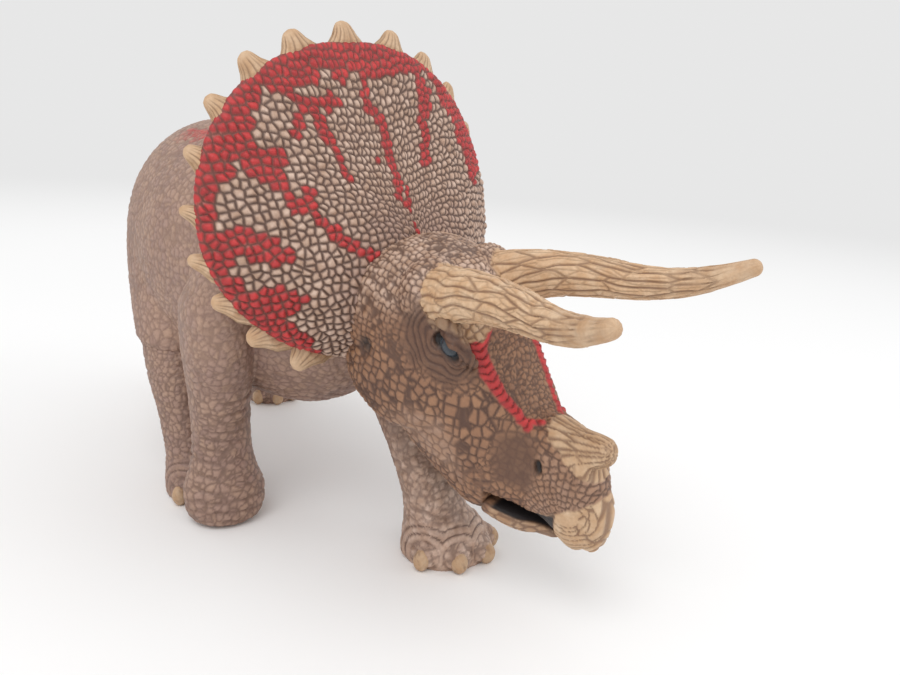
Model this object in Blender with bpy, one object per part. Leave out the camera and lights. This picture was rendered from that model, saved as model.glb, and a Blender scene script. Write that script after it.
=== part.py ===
"""A walking horned dinosaur toy: moulded body, tail, four legs, frilled head, brow horns and a hinged jaw.

The animal walks towards -Y, its left side is +X and the floor is at zero height.
Section tables are shares of the named sizes that their docstrings give.
"""
import math

import bmesh
import bpy
import numpy as np
from mathutils import Matrix, Vector

# Body sizes in metres
BODY_LENGTH = 0.104
BODY_WIDTH = 0.055
BODY_DEPTH = 0.057
HIP_HEIGHT = 0.085
LEG_GIRTH = 0.016
THIGH_GIRTH = 0.032
TAIL_LENGTH = 0.035
TAIL_GIRTH = 0.020
TAIL_PEG_LENGTH = 0.007
TAIL_PEG_RADIUS = 0.006
TAIL_DROP = 0.024
TAIL_SWING = 0.013

# Head sizes in metres
SKULL_LENGTH = 0.060
SKULL_WIDTH = 0.032
SKULL_DEPTH = 0.037
SKULL_REAR = 0.010
FRILL_WIDTH = 0.0717
FRILL_HEIGHT = 0.0682
FRILL_THICKNESS = 0.0036
FRILL_SETBACK = 0.0168
FRILL_RISE = 0.0042
FRILL_CURL = 0.0034
SPIKE_HEIGHT = 0.0046
SPIKE_WIDTH = 0.0088
SPIKE_THICKNESS = 0.0040
HORN_LENGTH = 0.0419
HORN_SPREAD = 0.0139
HORN_RISE = 0.0170
HORN_BASE_RADIUS = 0.0055
HORN_PEG_LENGTH = 0.0060
HORN_PEG_RADIUS = 0.0030
COLLAR_WALL = 0.0009
COLLAR_HEIGHT = 0.0018
NOSE_HORN_RADIUS = 0.0048
EYE_RADIUS = 0.0030
JOWL_LENGTH = 0.0250
JOWL_DEPTH = 0.0180
JOWL_THICKNESS = 0.0056

# Jaw sizes in metres
JAW_LENGTH = 0.0213
JAW_WIDTH = 0.0146
JAW_DEPTH = 0.0052
JAW_HEEL_RADIUS = 0.0034
JAW_HEEL_WIDTH = 0.0096
CHEEK_REACH = 0.0086
PIN_RADIUS = 0.0009
PIN_LENGTH = 0.0146

# Toe sizes in metres
TOE_RADIUS = 0.0027

# Fits in metres
CLEARANCE = 0.0003
OVERRUN = 0.0100

# Angles in radians
HEAD_YAW = math.radians(18.2)
HEAD_PITCH = math.radians(12.6)
HEAD_ROLL = math.radians(-6.2)
FRILL_LEAN = math.radians(23)
FRILL_SPAN = math.radians(148)
SHARP_ANGLE = math.radians(50)

# Counts
SPIKES_PER_SIDE = 9
BODY_SIDES = 26
LEG_SIDES = 16
SKULL_SIDES = 24
FRILL_COLUMNS = 60
FRILL_RINGS = 7
HORN_SIDES = 14
SPIKE_SIDES = 6
JOWL_SIDES = 12
ARC_STEPS = 8
DOME_STEPS = 3
HORN_STEPS = 12
BODY_STEPS = 3
NECK_ROWS = 5

# Head origin as shares of body width, body length and hip height
HEAD_PLACE_SHARES = (0.280, -0.298, 0.725)

# Torso: aside, along and height of the middle, then half width, above and below as shares of width and depth
TORSO_SHARES = (
    (0.205, -0.165, 0.655, 0.220, 0.215, 0.225),
    (0.150, -0.090, 0.650, 0.315, 0.310, 0.420),
    (0.091, 0.000, 0.640, 0.400, 0.405, 0.500),
    (0.036, 0.115, 0.637, 0.450, 0.475, 0.505),
    (0.000, 0.269, 0.647, 0.490, 0.505, 0.495),
    (-0.010, 0.423, 0.665, 0.490, 0.525, 0.480),
    (-0.005, 0.558, 0.690, 0.430, 0.465, 0.400),
    (0.004, 0.673, 0.705, 0.309, 0.340, 0.270),
    (0.018, 0.760, 0.700, 0.200, 0.220, 0.165),
)

# Neck peg: the same columns, running on from the front of the torso into the head
NECK_PEG_SHARES = (
    (0.232, -0.215, 0.655, 0.150, 0.145, 0.150),
    (0.200, -0.160, 0.655, 0.160, 0.155, 0.160),
    (0.175, -0.120, 0.652, 0.160, 0.155, 0.160),
)

# Legs: height, aside and along of the middle, then half width, front and back as shares of the leg's girth
RIGHT_FORELEG_SHARES = (
    (0.000, -0.288, 0.000, 0.32, 0.26, 0.26),
    (0.018, -0.288, 0.000, 0.46, 0.36, 0.34),
    (0.050, -0.288, 0.003, 0.54, 0.39, 0.36),
    (0.090, -0.288, 0.008, 0.55, 0.40, 0.37),
    (0.140, -0.289, 0.015, 0.46, 0.37, 0.36),
    (0.190, -0.290, 0.021, 0.40, 0.36, 0.37),
    (0.260, -0.292, 0.026, 0.385, 0.40, 0.42),
    (0.360, -0.298, 0.028, 0.41, 0.50, 0.54),
    (0.460, -0.310, 0.018, 0.45, 0.62, 0.66),
    (0.560, -0.315, 0.016, 0.45, 0.66, 0.70),
    (0.650, -0.280, 0.020, 0.38, 0.54, 0.58),
)
LEFT_FORELEG_SHARES = (
    (0.000, 0.418, -0.306, 0.59, 0.56, 0.50),
    (0.035, 0.418, -0.307, 0.60, 0.56, 0.50),
    (0.080, 0.402, -0.307, 0.53, 0.50, 0.47),
    (0.130, 0.370, -0.303, 0.41, 0.42, 0.43),
    (0.190, 0.345, -0.290, 0.365, 0.38, 0.42),
    (0.270, 0.325, -0.255, 0.375, 0.40, 0.46),
    (0.350, 0.318, -0.198, 0.41, 0.45, 0.54),
    (0.440, 0.330, -0.125, 0.44, 0.50, 0.62),
    (0.540, 0.340, -0.040, 0.45, 0.54, 0.66),
    (0.640, 0.320, 0.010, 0.40, 0.50, 0.58),
)
RIGHT_SHANK_SHARES = (
    (0.000, -0.325, 0.155, 0.45, 0.47, 0.50),
    (0.035, -0.325, 0.155, 0.46, 0.48, 0.51),
    (0.080, -0.332, 0.162, 0.42, 0.45, 0.48),
    (0.130, -0.344, 0.178, 0.365, 0.41, 0.44),
    (0.210, -0.358, 0.203, 0.36, 0.42, 0.47),
    (0.320, -0.372, 0.234, 0.42, 0.52, 0.57),
    (0.400, -0.378, 0.262, 0.43, 0.56, 0.57),
    (0.470, -0.372, 0.285, 0.36, 0.46, 0.46),
    (0.540, -0.364, 0.310, 0.28, 0.36, 0.36),
)
LEFT_SHANK_SHARES = (
    (0.000, 0.345, 0.730, 0.45, 0.50, 0.50),
    (0.035, 0.345, 0.730, 0.46, 0.50, 0.51),
    (0.080, 0.349, 0.722, 0.42, 0.46, 0.48),
    (0.130, 0.354, 0.700, 0.365, 0.42, 0.44),
    (0.210, 0.360, 0.665, 0.36, 0.43, 0.47),
    (0.320, 0.366, 0.615, 0.42, 0.51, 0.55),
    (0.400, 0.366, 0.578, 0.42, 0.54, 0.54),
    (0.470, 0.362, 0.560, 0.36, 0.45, 0.45),
    (0.540, 0.352, 0.545, 0.28, 0.36, 0.36),
)

# Thighs: the same columns, as shares of the thigh's girth
RIGHT_THIGH_SHARES = (
    (0.425, -0.374, 0.280, 0.252, 0.345, 0.335),
    (0.500, -0.362, 0.330, 0.270, 0.44, 0.40),
    (0.590, -0.337, 0.380, 0.300, 0.52, 0.48),
    (0.700, -0.295, 0.430, 0.335, 0.53, 0.50),
    (0.830, -0.230, 0.460, 0.300, 0.43, 0.43),
)
LEFT_THIGH_SHARES = (
    (0.425, 0.362, 0.564, 0.250, 0.335, 0.335),
    (0.500, 0.360, 0.545, 0.275, 0.42, 0.40),
    (0.590, 0.345, 0.520, 0.315, 0.50, 0.48),
    (0.700, 0.300, 0.500, 0.335, 0.51, 0.50),
    (0.830, 0.220, 0.485, 0.300, 0.43, 0.43),
)

# Toes: turn from straight ahead in degrees, as shares of a right angle, for each foot
FORE_TOE_TURN_SHARES = (-0.62, -0.12, 0.36, 0.82)
RIGHT_HIND_TOE_TURN_SHARES = (-0.45, 0.0, 0.45)
LEFT_HIND_TOE_TURN_SHARES = (-0.55, -0.05, 0.45)

# Tail: along, swing and drop, then half width, above and below as shares of the tail's sizes
TAIL_SHARES = (
    (0.00, 0.00, 0.00, 0.55, 0.62, 0.47),
    (0.20, 0.12, 0.16, 0.43, 0.50, 0.40),
    (0.42, 0.32, 0.38, 0.32, 0.38, 0.31),
    (0.65, 0.58, 0.64, 0.22, 0.26, 0.21),
    (0.88, 0.86, 0.90, 0.12, 0.14, 0.11),
    (0.98, 1.00, 1.00, 0.07, 0.08, 0.07),
)

# Skull: distance forward of its rear, height of the middle, half width, above and below
SKULL_SHARES = (
    (0.00, -0.20, 0.38, 0.28, 0.26),
    (0.13, -0.22, 0.49, 0.39, 0.34),
    (0.27, -0.28, 0.48, 0.46, 0.50),
    (0.38, -0.36, 0.45, 0.50, 0.545),
    (0.50, -0.46, 0.400, 0.405, 0.54),
    (0.62, -0.58, 0.340, 0.315, 0.47),
    (0.72, -0.64, 0.268, 0.25, 0.32),
    (0.83, -0.66, 0.203, 0.27, 0.24),
    (0.93, -0.72, 0.150, 0.24, 0.245),
    (0.975, -0.76, 0.100, 0.15, 0.17),
)

# Jaw root between the cheeks and the wide lip in front: forward, height, half width, above and below
JAW_ROOT_SHARES = (
    (0.00, -0.12, 0.32, 0.48, 0.54),
    (0.30, -0.22, 0.32, 0.40, 0.70),
    (0.60, -0.42, 0.32, 0.30, 0.66),
)
JAW_LIP_SHARES = (
    (0.440, -0.42, 0.60, 0.26, 0.70),
    (0.520, -0.43, 0.57, 0.27, 0.70),
    (0.62, -0.46, 0.53, 0.28, 0.70),
    (0.75, -0.52, 0.45, 0.28, 0.60),
    (0.87, -0.62, 0.28, 0.26, 0.40),
    (0.96, -0.70, 0.17, 0.20, 0.30),
)

# Places in the head as shares of the skull's length, width and depth
HORN_ROOT_SHARES = (0.240, -0.173, 0.020)
EYE_SHARES = (0.372, -0.305, -0.130)
JOWL_SHARES = (0.400, -0.105, -0.455)
NOSE_ROOT_SHARES = (0.0, -0.655, -0.515)
NOSE_TIP_SHARES = (0.0, -0.773, -0.405)
NOSE_GIRTH_SHARES = (1.0, 0.8, 0.52)
JAW_HINGE_SHARES = (0.0, -0.350, -0.850)
MOUTH_LINE_SHARES = ((-0.492, -0.811), (-0.600, -0.822), (-0.675, -0.850), (-0.722, -0.930), (-0.732, -1.080))
FRILL_LOWER_SHARE = 0.77
FRILL_FLATNESS = 0.9
FRILL_ROOT_SHARE = 0.55
FRILL_HOLLOW_SHARE = 0.05
FRILL_BULGE_SHARE = 0.04
SPIKE_LEAN_SHARE = 0.80
FRILL_EDGE_SHARE = 0.45
FRILL_SWELL_SHARE = 0.3

# Spikes: reach beyond the rim as shares of their height, and the girth there as shares of their width
SPIKE_TAPER_SHARES = ((-0.75, 1.0), (0.0, 0.86), (0.45, 0.52), (0.85, 0.24))

# Bends of a brow horn's curve: shares of its spread, length and rise from its root
HORN_BEND_SHARES = ((0.455, 0.555, 0.760), (0.338, 0.606, 0.260))

# Girth of a brow horn: how far along it, and its radius as shares of the base radius
HORN_GIRTH_SHARES = ((0.0, 1.0), (0.3, 0.73), (0.6, 0.555), (0.85, 0.45), (1.0, 0.27))

# Collars: place along the horn as shares of the collar's height, and their wall as shares of its thickness
COLLAR_SHARES = ((-1.6, 2.2), (-0.4, 1.9), (0.4, 1.4), (1.0, 0.4))

# Roundness of the sections: two is an oval and more is squarer
ROUND_POWER = 2.0
SKULL_POWER = 2.4
BODY_POWER = 2.1

# Roundness of rounded ends as shares of their half width
NECK_DOME_SHARES = (0.4, 0.0)
LEG_DOME_SHARES = (0.0, 0.45)
TAIL_DOME_SHARES = (0.0, 0.6)
SKULL_DOME_SHARES = (0.4, 0.9)
JAW_DOME_SHARES = (0.0, 0.6)
PEG_DOME_SHARES = (0.3, 0.3)
THIGH_DOME_SHARES = (0.5, 0.5)

SKIN = (0.33, 0.20, 0.15)
DARK_SKIN = (0.26, 0.15, 0.11)
FRILL_RED = (0.45, 0.12, 0.10)
HORN_TAN = (0.58, 0.38, 0.20)
LIP_BROWN = (0.30, 0.17, 0.11)
STEEL = (0.55, 0.55, 0.56)

ASIDE = Vector((1.0, 0.0, 0.0))
BACKWARD = Vector((0.0, 1.0, 0.0))
UPWARD = Vector((0.0, 0.0, 1.0))


def smooth_rows(rows, steps):
    """Rows of a table, with the steps between two rows read from a curve that never overshoots them."""
    table = np.array(rows, dtype=float)
    slopes = np.diff(table, axis=0)
    tangents = np.zeros_like(table)
    tangents[0] = slopes[0]
    tangents[-1] = slopes[-1]
    agree = slopes[1:] * slopes[:-1] > 0
    total = np.where(agree, slopes[1:] + slopes[:-1], 1.0)
    tangents[1:-1] = np.where(agree, 2 * slopes[1:] * slopes[:-1] / total, 0.0)
    read = [table[0]]
    for row in range(len(table) - 1):
        for step in range(1, steps + 1):
            t = step / steps
            read.append(
                (2 * t**3 - 3 * t**2 + 1) * table[row]
                + (t**3 - 2 * t**2 + t) * tangents[row]
                + (3 * t**2 - 2 * t**3) * table[row + 1]
                + (t**3 - t**2) * tangents[row + 1]
            )
    return np.array(read)


def oval_ring(centre, across, upright, half_width, above, below, sides, power):
    """Points of one section: an oval whose upper and lower halves have their own height."""
    turn = np.linspace(0, 2 * math.pi, sides, endpoint=False)
    cosine = np.cos(turn)
    sine = np.sin(turn)
    reach = np.where(sine > 0, above, below)
    wide = half_width * np.sign(cosine) * np.abs(cosine) ** (2 / power)
    tall = reach * np.sign(sine) * np.abs(sine) ** (2 / power)
    return np.array(centre) + np.outer(wide, np.array(across)) + np.outer(tall, np.array(upright))


def round_end(ring, direction, depth, steps):
    """Rings that close one end as a quarter of an oval, and the point at its tip."""
    middle = ring.mean(axis=0)
    heading = np.array(direction.normalized())
    rings = []
    for step in range(1, steps):
        turn = step * math.pi / 2 / steps
        rings.append(middle + (ring - middle) * math.cos(turn) + heading * depth * math.sin(turn))
    return rings, middle + heading * depth


def mesh_of_rings(name, rings, first_tip=None, last_tip=None):
    """A closed mesh through rings of points, with a tip or a flat face at each end."""
    shape = bmesh.new()
    loops = [[shape.verts.new(point) for point in ring] for ring in rings]
    sides = len(loops[0])
    for near, far in zip(loops, loops[1:]):
        for side in range(sides):
            following = (side + 1) % sides
            shape.faces.new((near[side], near[following], far[following], far[side]))
    for loop, tip in ((loops[0], first_tip), (loops[-1], last_tip)):
        if tip is None:
            shape.faces.new(loop)
            continue
        point = shape.verts.new(tip)
        for side in range(sides):
            shape.faces.new((loop[side], loop[(side + 1) % sides], point))
    bmesh.ops.recalc_face_normals(shape, faces=shape.faces)
    mesh = bpy.data.meshes.new(name)
    shape.to_mesh(mesh)
    shape.free()
    mesh.shade_smooth()
    return mesh


def loft(name, rows, section, sides, power, dome_shares, grow=0.0, steps=2):
    """A closed form through the sections that the rows describe, grown all round for a pocket.

    A dome share of zero leaves that end flat. Other ends are rounded to that share of their half width.
    """
    read = smooth_rows(rows, steps)
    rings = []
    middles = []
    widths = []
    for row in read:
        centre, across, upright, half_width, above, below = section(row)
        middles.append(Vector(centre))
        widths.append(half_width + grow)
        rings.append(
            oval_ring(centre, across, upright, half_width + grow, above + grow, below + grow, sides, power)
        )
    first_tip = None
    last_tip = None
    if dome_shares[0] > 0:
        depth = dome_shares[0] * widths[0]
        ends, first_tip = round_end(rings[0], middles[0] - middles[1], depth, DOME_STEPS)
        rings = ends[::-1] + rings
    if dome_shares[1] > 0:
        depth = dome_shares[1] * widths[-1]
        ends, last_tip = round_end(rings[-1], middles[-1] - middles[-2], depth, DOME_STEPS)
        rings = rings + ends
    return mesh_of_rings(name, rings, first_tip, last_tip)


def torso_section(row):
    """Section across the body, from shares of its width, length, height and depth."""
    aside, along, height, half_width, above, below = row
    centre = (aside * BODY_WIDTH, along * BODY_LENGTH, height * HIP_HEIGHT)
    return centre, ASIDE, UPWARD, half_width * BODY_WIDTH, above * BODY_DEPTH, below * BODY_DEPTH


def leg_section(girth):
    """Level section of a leg, placed by shares of the body's sizes and sized by the given girth."""

    def section(row):
        height, aside, along, half_width, front, back = row
        centre = (aside * BODY_WIDTH, along * BODY_LENGTH, height * HIP_HEIGHT)
        return centre, ASIDE, -BACKWARD, half_width * girth, front * girth, back * girth

    return section


def tail_section(row):
    """Section across the tail, from shares of its length, swing, drop and girth."""
    along, swing, drop, half_width, above, below = row
    root = torso_section(TORSO_SHARES[-1])[0]
    start = root[1] + CLEARANCE
    centre = (root[0] + swing * TAIL_SWING, start + along * TAIL_LENGTH, root[2] - drop * TAIL_DROP)
    return centre, ASIDE, UPWARD, half_width * TAIL_GIRTH, above * TAIL_GIRTH, below * TAIL_GIRTH


def skull_section(row):
    """Section across the skull, from shares of its length, width and depth."""
    forward, height, half_width, above, below = row
    centre = (0.0, SKULL_REAR - forward * SKULL_LENGTH, height * SKULL_DEPTH)
    return centre, ASIDE, UPWARD, half_width * SKULL_WIDTH, above * SKULL_DEPTH, below * SKULL_DEPTH


def jaw_section(row):
    """Section across the jaw, from its hinge forward, as shares of its length, width and depth."""
    forward, height, half_width, above, below = row
    centre = (0.0, -forward * JAW_LENGTH, height * JAW_DEPTH)
    return centre, ASIDE, UPWARD, half_width * JAW_WIDTH, above * JAW_DEPTH, below * JAW_DEPTH


def head_place(shares):
    """A place in the head, from shares of the skull's width, length and depth."""
    return Vector((shares[0] * SKULL_WIDTH, shares[1] * SKULL_LENGTH, shares[2] * SKULL_DEPTH))


def sweep(name, points, radii, sides, grow=0.0):
    """A round bar of changing radius along points, flat at its first end and rounded at its last."""
    points = [Vector(point) for point in points]
    rings = []
    for index, point in enumerate(points):
        ahead = points[min(index + 1, len(points) - 1)] - points[max(index - 1, 0)]
        across = ahead.cross(UPWARD).normalized()
        upright = across.cross(ahead).normalized()
        radius = radii[index] + grow
        rings.append(oval_ring(point, across, upright, radius, radius, radius, sides, ROUND_POWER))
    ends, tip = round_end(rings[-1], points[-1] - points[-2], radii[-1] + grow, DOME_STEPS)
    return mesh_of_rings(name, rings + ends, None, tip)


def linked(mesh, parent, guide=False):
    """An object of the mesh under its parent, or a guide that only shapes other pieces."""
    piece = bpy.data.objects.new(mesh.name, mesh)
    bpy.context.scene.collection.objects.link(piece)
    piece.parent = parent
    if guide:
        piece.hide_render = True
        piece.display_type = "WIRE"
    return piece


def finish(piece, colour, roughness=0.55, metallic=0.0):
    """Smooth shading and the piece's own material."""
    material = bpy.data.materials.new(piece.name + "_material")
    material.use_nodes = True
    shader = material.node_tree.nodes["Principled BSDF"]
    shader.inputs["Base Color"].default_value = (*colour, 1.0)
    shader.inputs["Roughness"].default_value = roughness
    shader.inputs["Metallic"].default_value = metallic
    piece.data.materials.append(material)
    piece.data.shade_smooth()
    piece.data.set_sharp_from_angle(angle=SHARP_ANGLE)


def combine(piece, tool, operation):
    """Join a guide to the piece, or cut it away."""
    modifier = piece.modifiers.new(operation.lower() + "_" + tool.name, "BOOLEAN")
    modifier.operation = operation
    modifier.object = tool
    modifier.solver = "EXACT"


def leg(name, rows, toe_turn_shares, parent):
    """A leg with a flat sole and toes round its front, rounded where it plugs into the body."""
    section = leg_section(LEG_GIRTH)
    piece = linked(loft(name, rows, section, LEG_SIDES, BODY_POWER, LEG_DOME_SHARES), parent)
    foot = section(rows[1])
    for number, share in enumerate(toe_turn_shares):
        turn = share * math.pi / 2
        reach_aside = (foot[3] - TOE_RADIUS / 2) * math.sin(turn)
        reach_ahead = (foot[4] - TOE_RADIUS / 2) * math.cos(turn)
        centre = Vector((foot[0][0] + reach_aside, foot[0][1] - reach_ahead, TOE_RADIUS + CLEARANCE))
        toe = linked(ball(name + "_toe_form_" + str(number), centre, Vector.Fill(3, TOE_RADIUS)), parent, guide=True)
        combine(piece, toe, "UNION")
    return piece


def ball(name, centre, reaches, sides=8):
    """A ball round the given centre, stretched to its reach aside, along and up."""
    shape = bmesh.new()
    bmesh.ops.create_uvsphere(shape, u_segments=sides, v_segments=3 * sides // 4, radius=1.0)
    bmesh.ops.scale(shape, verts=shape.verts, vec=reaches)
    bmesh.ops.translate(shape, verts=shape.verts, vec=centre)
    mesh = bpy.data.meshes.new(name)
    shape.to_mesh(mesh)
    shape.free()
    mesh.shade_smooth()
    return mesh


def prism(name, outline, half_width):
    """A closed prism of an outline in the head's middle plane, as wide on both sides."""
    left = [(half_width, along, height) for along, height in outline]
    right = [(-half_width, along, height) for along, height in outline]
    return mesh_of_rings(name, [left, right])


def frill_rim(turn):
    """Point on the frill's rim: an oval that leans back and curls back at both sides."""
    across = FRILL_WIDTH / 2 * math.copysign(abs(math.sin(turn)) ** FRILL_FLATNESS, math.sin(turn))
    rise = FRILL_HEIGHT / 2 * math.cos(turn)
    if rise < 0:
        rise *= FRILL_LOWER_SHARE
    return Vector((
        across,
        FRILL_SETBACK + rise * math.sin(FRILL_LEAN) + FRILL_CURL * math.sin(turn) ** 2,
        FRILL_RISE + rise * math.cos(FRILL_LEAN),
    ))


def frill_middle(out, turn):
    """Point half way through the frill: from its root in the skull at zero to its rim at one."""
    root = skull_section(SKULL_SHARES[1])
    inner = Vector(root[0]) + FRILL_ROOT_SHARE * Vector((
        root[3] * math.sin(turn), 0.0, root[4] * math.cos(turn),
    ))
    rim = frill_rim(turn)
    bend = FRILL_HOLLOW_SHARE * math.cos(turn) ** 2 - FRILL_BULGE_SHARE * math.sin(turn) ** 2
    return inner.lerp(rim, out) + BACKWARD * 4 * out * (1 - out) * bend * (rim - inner).length


def frill_mesh():
    """The frill: a shallow flared shield from the skull to its rim, thickest at the skull."""
    nudge = 1 / FRILL_COLUMNS / FRILL_RINGS
    front_rings = []
    back_rings = []
    for ring in range(FRILL_RINGS + 1):
        out = ring / FRILL_RINGS
        half = FRILL_THICKNESS / 2 * (1 + FRILL_SWELL_SHARE * (1 - out))
        if ring == FRILL_RINGS:
            half = half * FRILL_EDGE_SHARE
        front = []
        back = []
        for column in range(FRILL_COLUMNS):
            turn = 2 * math.pi * column / FRILL_COLUMNS
            place = frill_middle(out, turn)
            around = frill_middle(out, turn + nudge) - frill_middle(out, turn - nudge)
            outward = frill_middle(out + nudge, turn) - frill_middle(out - nudge, turn)
            normal = outward.cross(around).normalized()
            front.append(place + normal * half)
            back.append(place - normal * half)
        front_rings.append(front)
        back_rings.append(back)
    return mesh_of_rings("frill_form", front_rings + back_rings[::-1])


def spike_mesh(number):
    """One blunt spike of the rim, as a flattened cone with its root inside the frill."""
    turn = FRILL_SPAN * number / SPIKES_PER_SIDE
    rim = frill_rim(turn)
    level = (rim - Vector((0.0, FRILL_SETBACK, FRILL_RISE))).normalized()
    sloping = (rim - frill_middle(1 - 1 / FRILL_RINGS, turn)).normalized()
    outward = level.lerp(sloping, SPIKE_LEAN_SHARE * math.sin(turn) ** 2).normalized()
    normal = Vector((0.0, -math.cos(FRILL_LEAN), math.sin(FRILL_LEAN)))
    sideways = outward.cross(normal).normalized()
    rings = []
    for out_share, width_share in SPIKE_TAPER_SHARES:
        place = rim + outward * out_share * SPIKE_HEIGHT
        half_width = width_share * SPIKE_WIDTH / 2
        deep = width_share * SPIKE_THICKNESS / 2
        rings.append(oval_ring(place, sideways, normal, half_width, deep, deep, SPIKE_SIDES, ROUND_POWER))
    tip = rim + outward * SPIKE_HEIGHT
    return mesh_of_rings("spike_form_" + str(number + SPIKES_PER_SIDE), rings, None, tip)


def horn_curve(side):
    """Points and radii along one brow horn, from its root on the skull to its blunt tip."""
    root = head_place(HORN_ROOT_SHARES)
    first, second = (
        root + Vector((spread * HORN_SPREAD, -along * HORN_LENGTH, rise * HORN_RISE))
        for spread, along, rise in HORN_BEND_SHARES
    )
    tip = root + Vector((HORN_SPREAD, -HORN_LENGTH, HORN_RISE))
    places, shares = zip(*HORN_GIRTH_SHARES)
    points = []
    radii = []
    for step in range(HORN_STEPS + 1):
        t = step / HORN_STEPS
        point = root * (1 - t) ** 3 + first * 3 * t * (1 - t) ** 2 + second * 3 * t**2 * (1 - t) + tip * t**3
        points.append(Vector((side * point.x, point.y, point.z)))
        radii.append(HORN_BASE_RADIUS * float(np.interp(t, places, shares)))
    return points, radii


def horn_mesh(name, side, grow=0.0):
    """A brow horn with a peg at its root, or the pocket that takes both."""
    points, radii = horn_curve(side)
    ahead = (points[1] - points[0]).normalized()
    peg_end = points[0] - ahead * (HORN_PEG_LENGTH + grow)
    step_back = points[0] - ahead * grow
    shoulder = step_back - ahead * CLEARANCE
    points = [peg_end, shoulder, step_back] + points[1:]
    radii = [HORN_PEG_RADIUS, HORN_PEG_RADIUS, HORN_BASE_RADIUS] + radii[1:]
    return sweep(name, points, radii, HORN_SIDES, grow)


def collar_mesh(name, side):
    """The ring of skin that stands round a brow horn's root."""
    points, _ = horn_curve(side)
    ahead = (points[1] - points[0]).normalized()
    rings = []
    for along_share, wall_share in COLLAR_SHARES:
        place = points[0] + ahead * along_share * COLLAR_HEIGHT
        across = ahead.cross(UPWARD).normalized()
        wide = HORN_BASE_RADIUS + CLEARANCE + wall_share * COLLAR_WALL
        rings.append(oval_ring(place, across, across.cross(ahead), wide, wide, wide, HORN_SIDES, ROUND_POWER))
    return mesh_of_rings(name, rings)


def hinge_arc(centre, radius, start, end):
    """Points of an arc in the head's middle plane, angles from backward towards up."""
    points = []
    for step in range(ARC_STEPS + 1):
        turn = start + (end - start) * step / ARC_STEPS
        points.append((centre.y + radius * math.cos(turn), centre.z + radius * math.sin(turn)))
    return points


def mouth_outline(hinge):
    """Outline of the room under the upper lip, open below and in front of the cheeks."""
    lip = [(along * SKULL_LENGTH, height * SKULL_DEPTH) for along, height in MOUTH_LINE_SHARES]
    floor = hinge.z - OVERRUN
    start = math.pi
    cheek = hinge_arc(hinge, CHEEK_REACH, start + math.pi / 2, start)
    return cheek + lip + [(lip[-1][0], floor - OVERRUN), (cheek[0][0], floor - OVERRUN)]


def root_slot_outline(hinge):
    """Outline of the slot between the cheeks that the jaw's root swings in."""
    radius = JAW_HEEL_RADIUS + CLEARANCE
    top = hinge_arc(hinge, radius, 0.0, math.pi / 2)
    front = hinge.y - CHEEK_REACH - CLEARANCE
    roof = MOUTH_LINE_SHARES[0][1] * SKULL_DEPTH
    floor = hinge.z - 2 * OVERRUN
    return [(hinge.y + radius, floor)] + top + [(front, roof), (front, floor)]


def round_bar(name, centre, radius, half_length):
    """A round bar across the head, from side to side."""
    rings = []
    for aside in (-half_length, half_length):
        middle = centre + ASIDE * aside
        rings.append(oval_ring(middle, BACKWARD, UPWARD, radius, radius, radius, HORN_SIDES, ROUND_POWER))
    return mesh_of_rings(name, rings)


def make_torso(root):
    """The body with both thighs, and pockets for the legs and the tail."""
    body = loft(
        "torso", TORSO_SHARES, torso_section, BODY_SIDES, BODY_POWER, NECK_DOME_SHARES, steps=BODY_STEPS
    )
    torso = linked(body, root)
    peg = loft("neck_peg_form", NECK_PEG_SHARES, torso_section, LEG_SIDES, BODY_POWER, PEG_DOME_SHARES)
    combine(torso, linked(peg, root, guide=True), "UNION")
    for name, rows in (("right_thigh_form", RIGHT_THIGH_SHARES), ("left_thigh_form", LEFT_THIGH_SHARES)):
        thigh = loft(name, rows, leg_section(THIGH_GIRTH), LEG_SIDES, BODY_POWER, THIGH_DOME_SHARES)
        combine(torso, linked(thigh, root, guide=True), "UNION")
    return torso


def make_legs(torso, root):
    """The four legs, each seated in a pocket of the body."""
    plans = (
        ("right_foreleg", RIGHT_FORELEG_SHARES, (), SKIN),
        ("left_foreleg", LEFT_FORELEG_SHARES, FORE_TOE_TURN_SHARES, SKIN),
        ("right_hind_leg", RIGHT_SHANK_SHARES, RIGHT_HIND_TOE_TURN_SHARES, DARK_SKIN),
        ("left_hind_leg", LEFT_SHANK_SHARES, LEFT_HIND_TOE_TURN_SHARES, DARK_SKIN),
    )
    for name, rows, toes, colour in plans:
        piece = leg(name, rows, toes, root)
        pocket = loft(
            name + "_pocket_form", rows, leg_section(LEG_GIRTH), LEG_SIDES, BODY_POWER, LEG_DOME_SHARES, CLEARANCE
        )
        combine(torso, linked(pocket, root, guide=True), "DIFFERENCE")
        finish(piece, colour)


def make_tail(torso, root):
    """The tail, butted against the rump with a peg inside it."""
    tail = linked(loft("tail", TAIL_SHARES, tail_section, BODY_SIDES, BODY_POWER, TAIL_DOME_SHARES), root)
    middle = Vector(tail_section(TAIL_SHARES[0])[0])
    inside = middle + BACKWARD * TAIL_PEG_LENGTH
    end = middle - BACKWARD * TAIL_PEG_LENGTH
    radii = [TAIL_PEG_RADIUS, TAIL_PEG_RADIUS]
    peg = sweep("tail_peg_form", [inside, end], radii, HORN_SIDES)
    combine(tail, linked(peg, root, guide=True), "UNION")
    pocket = sweep("tail_pocket_form", [inside, end], radii, HORN_SIDES, CLEARANCE)
    combine(torso, linked(pocket, root, guide=True), "DIFFERENCE")
    finish(tail, SKIN)


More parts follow.
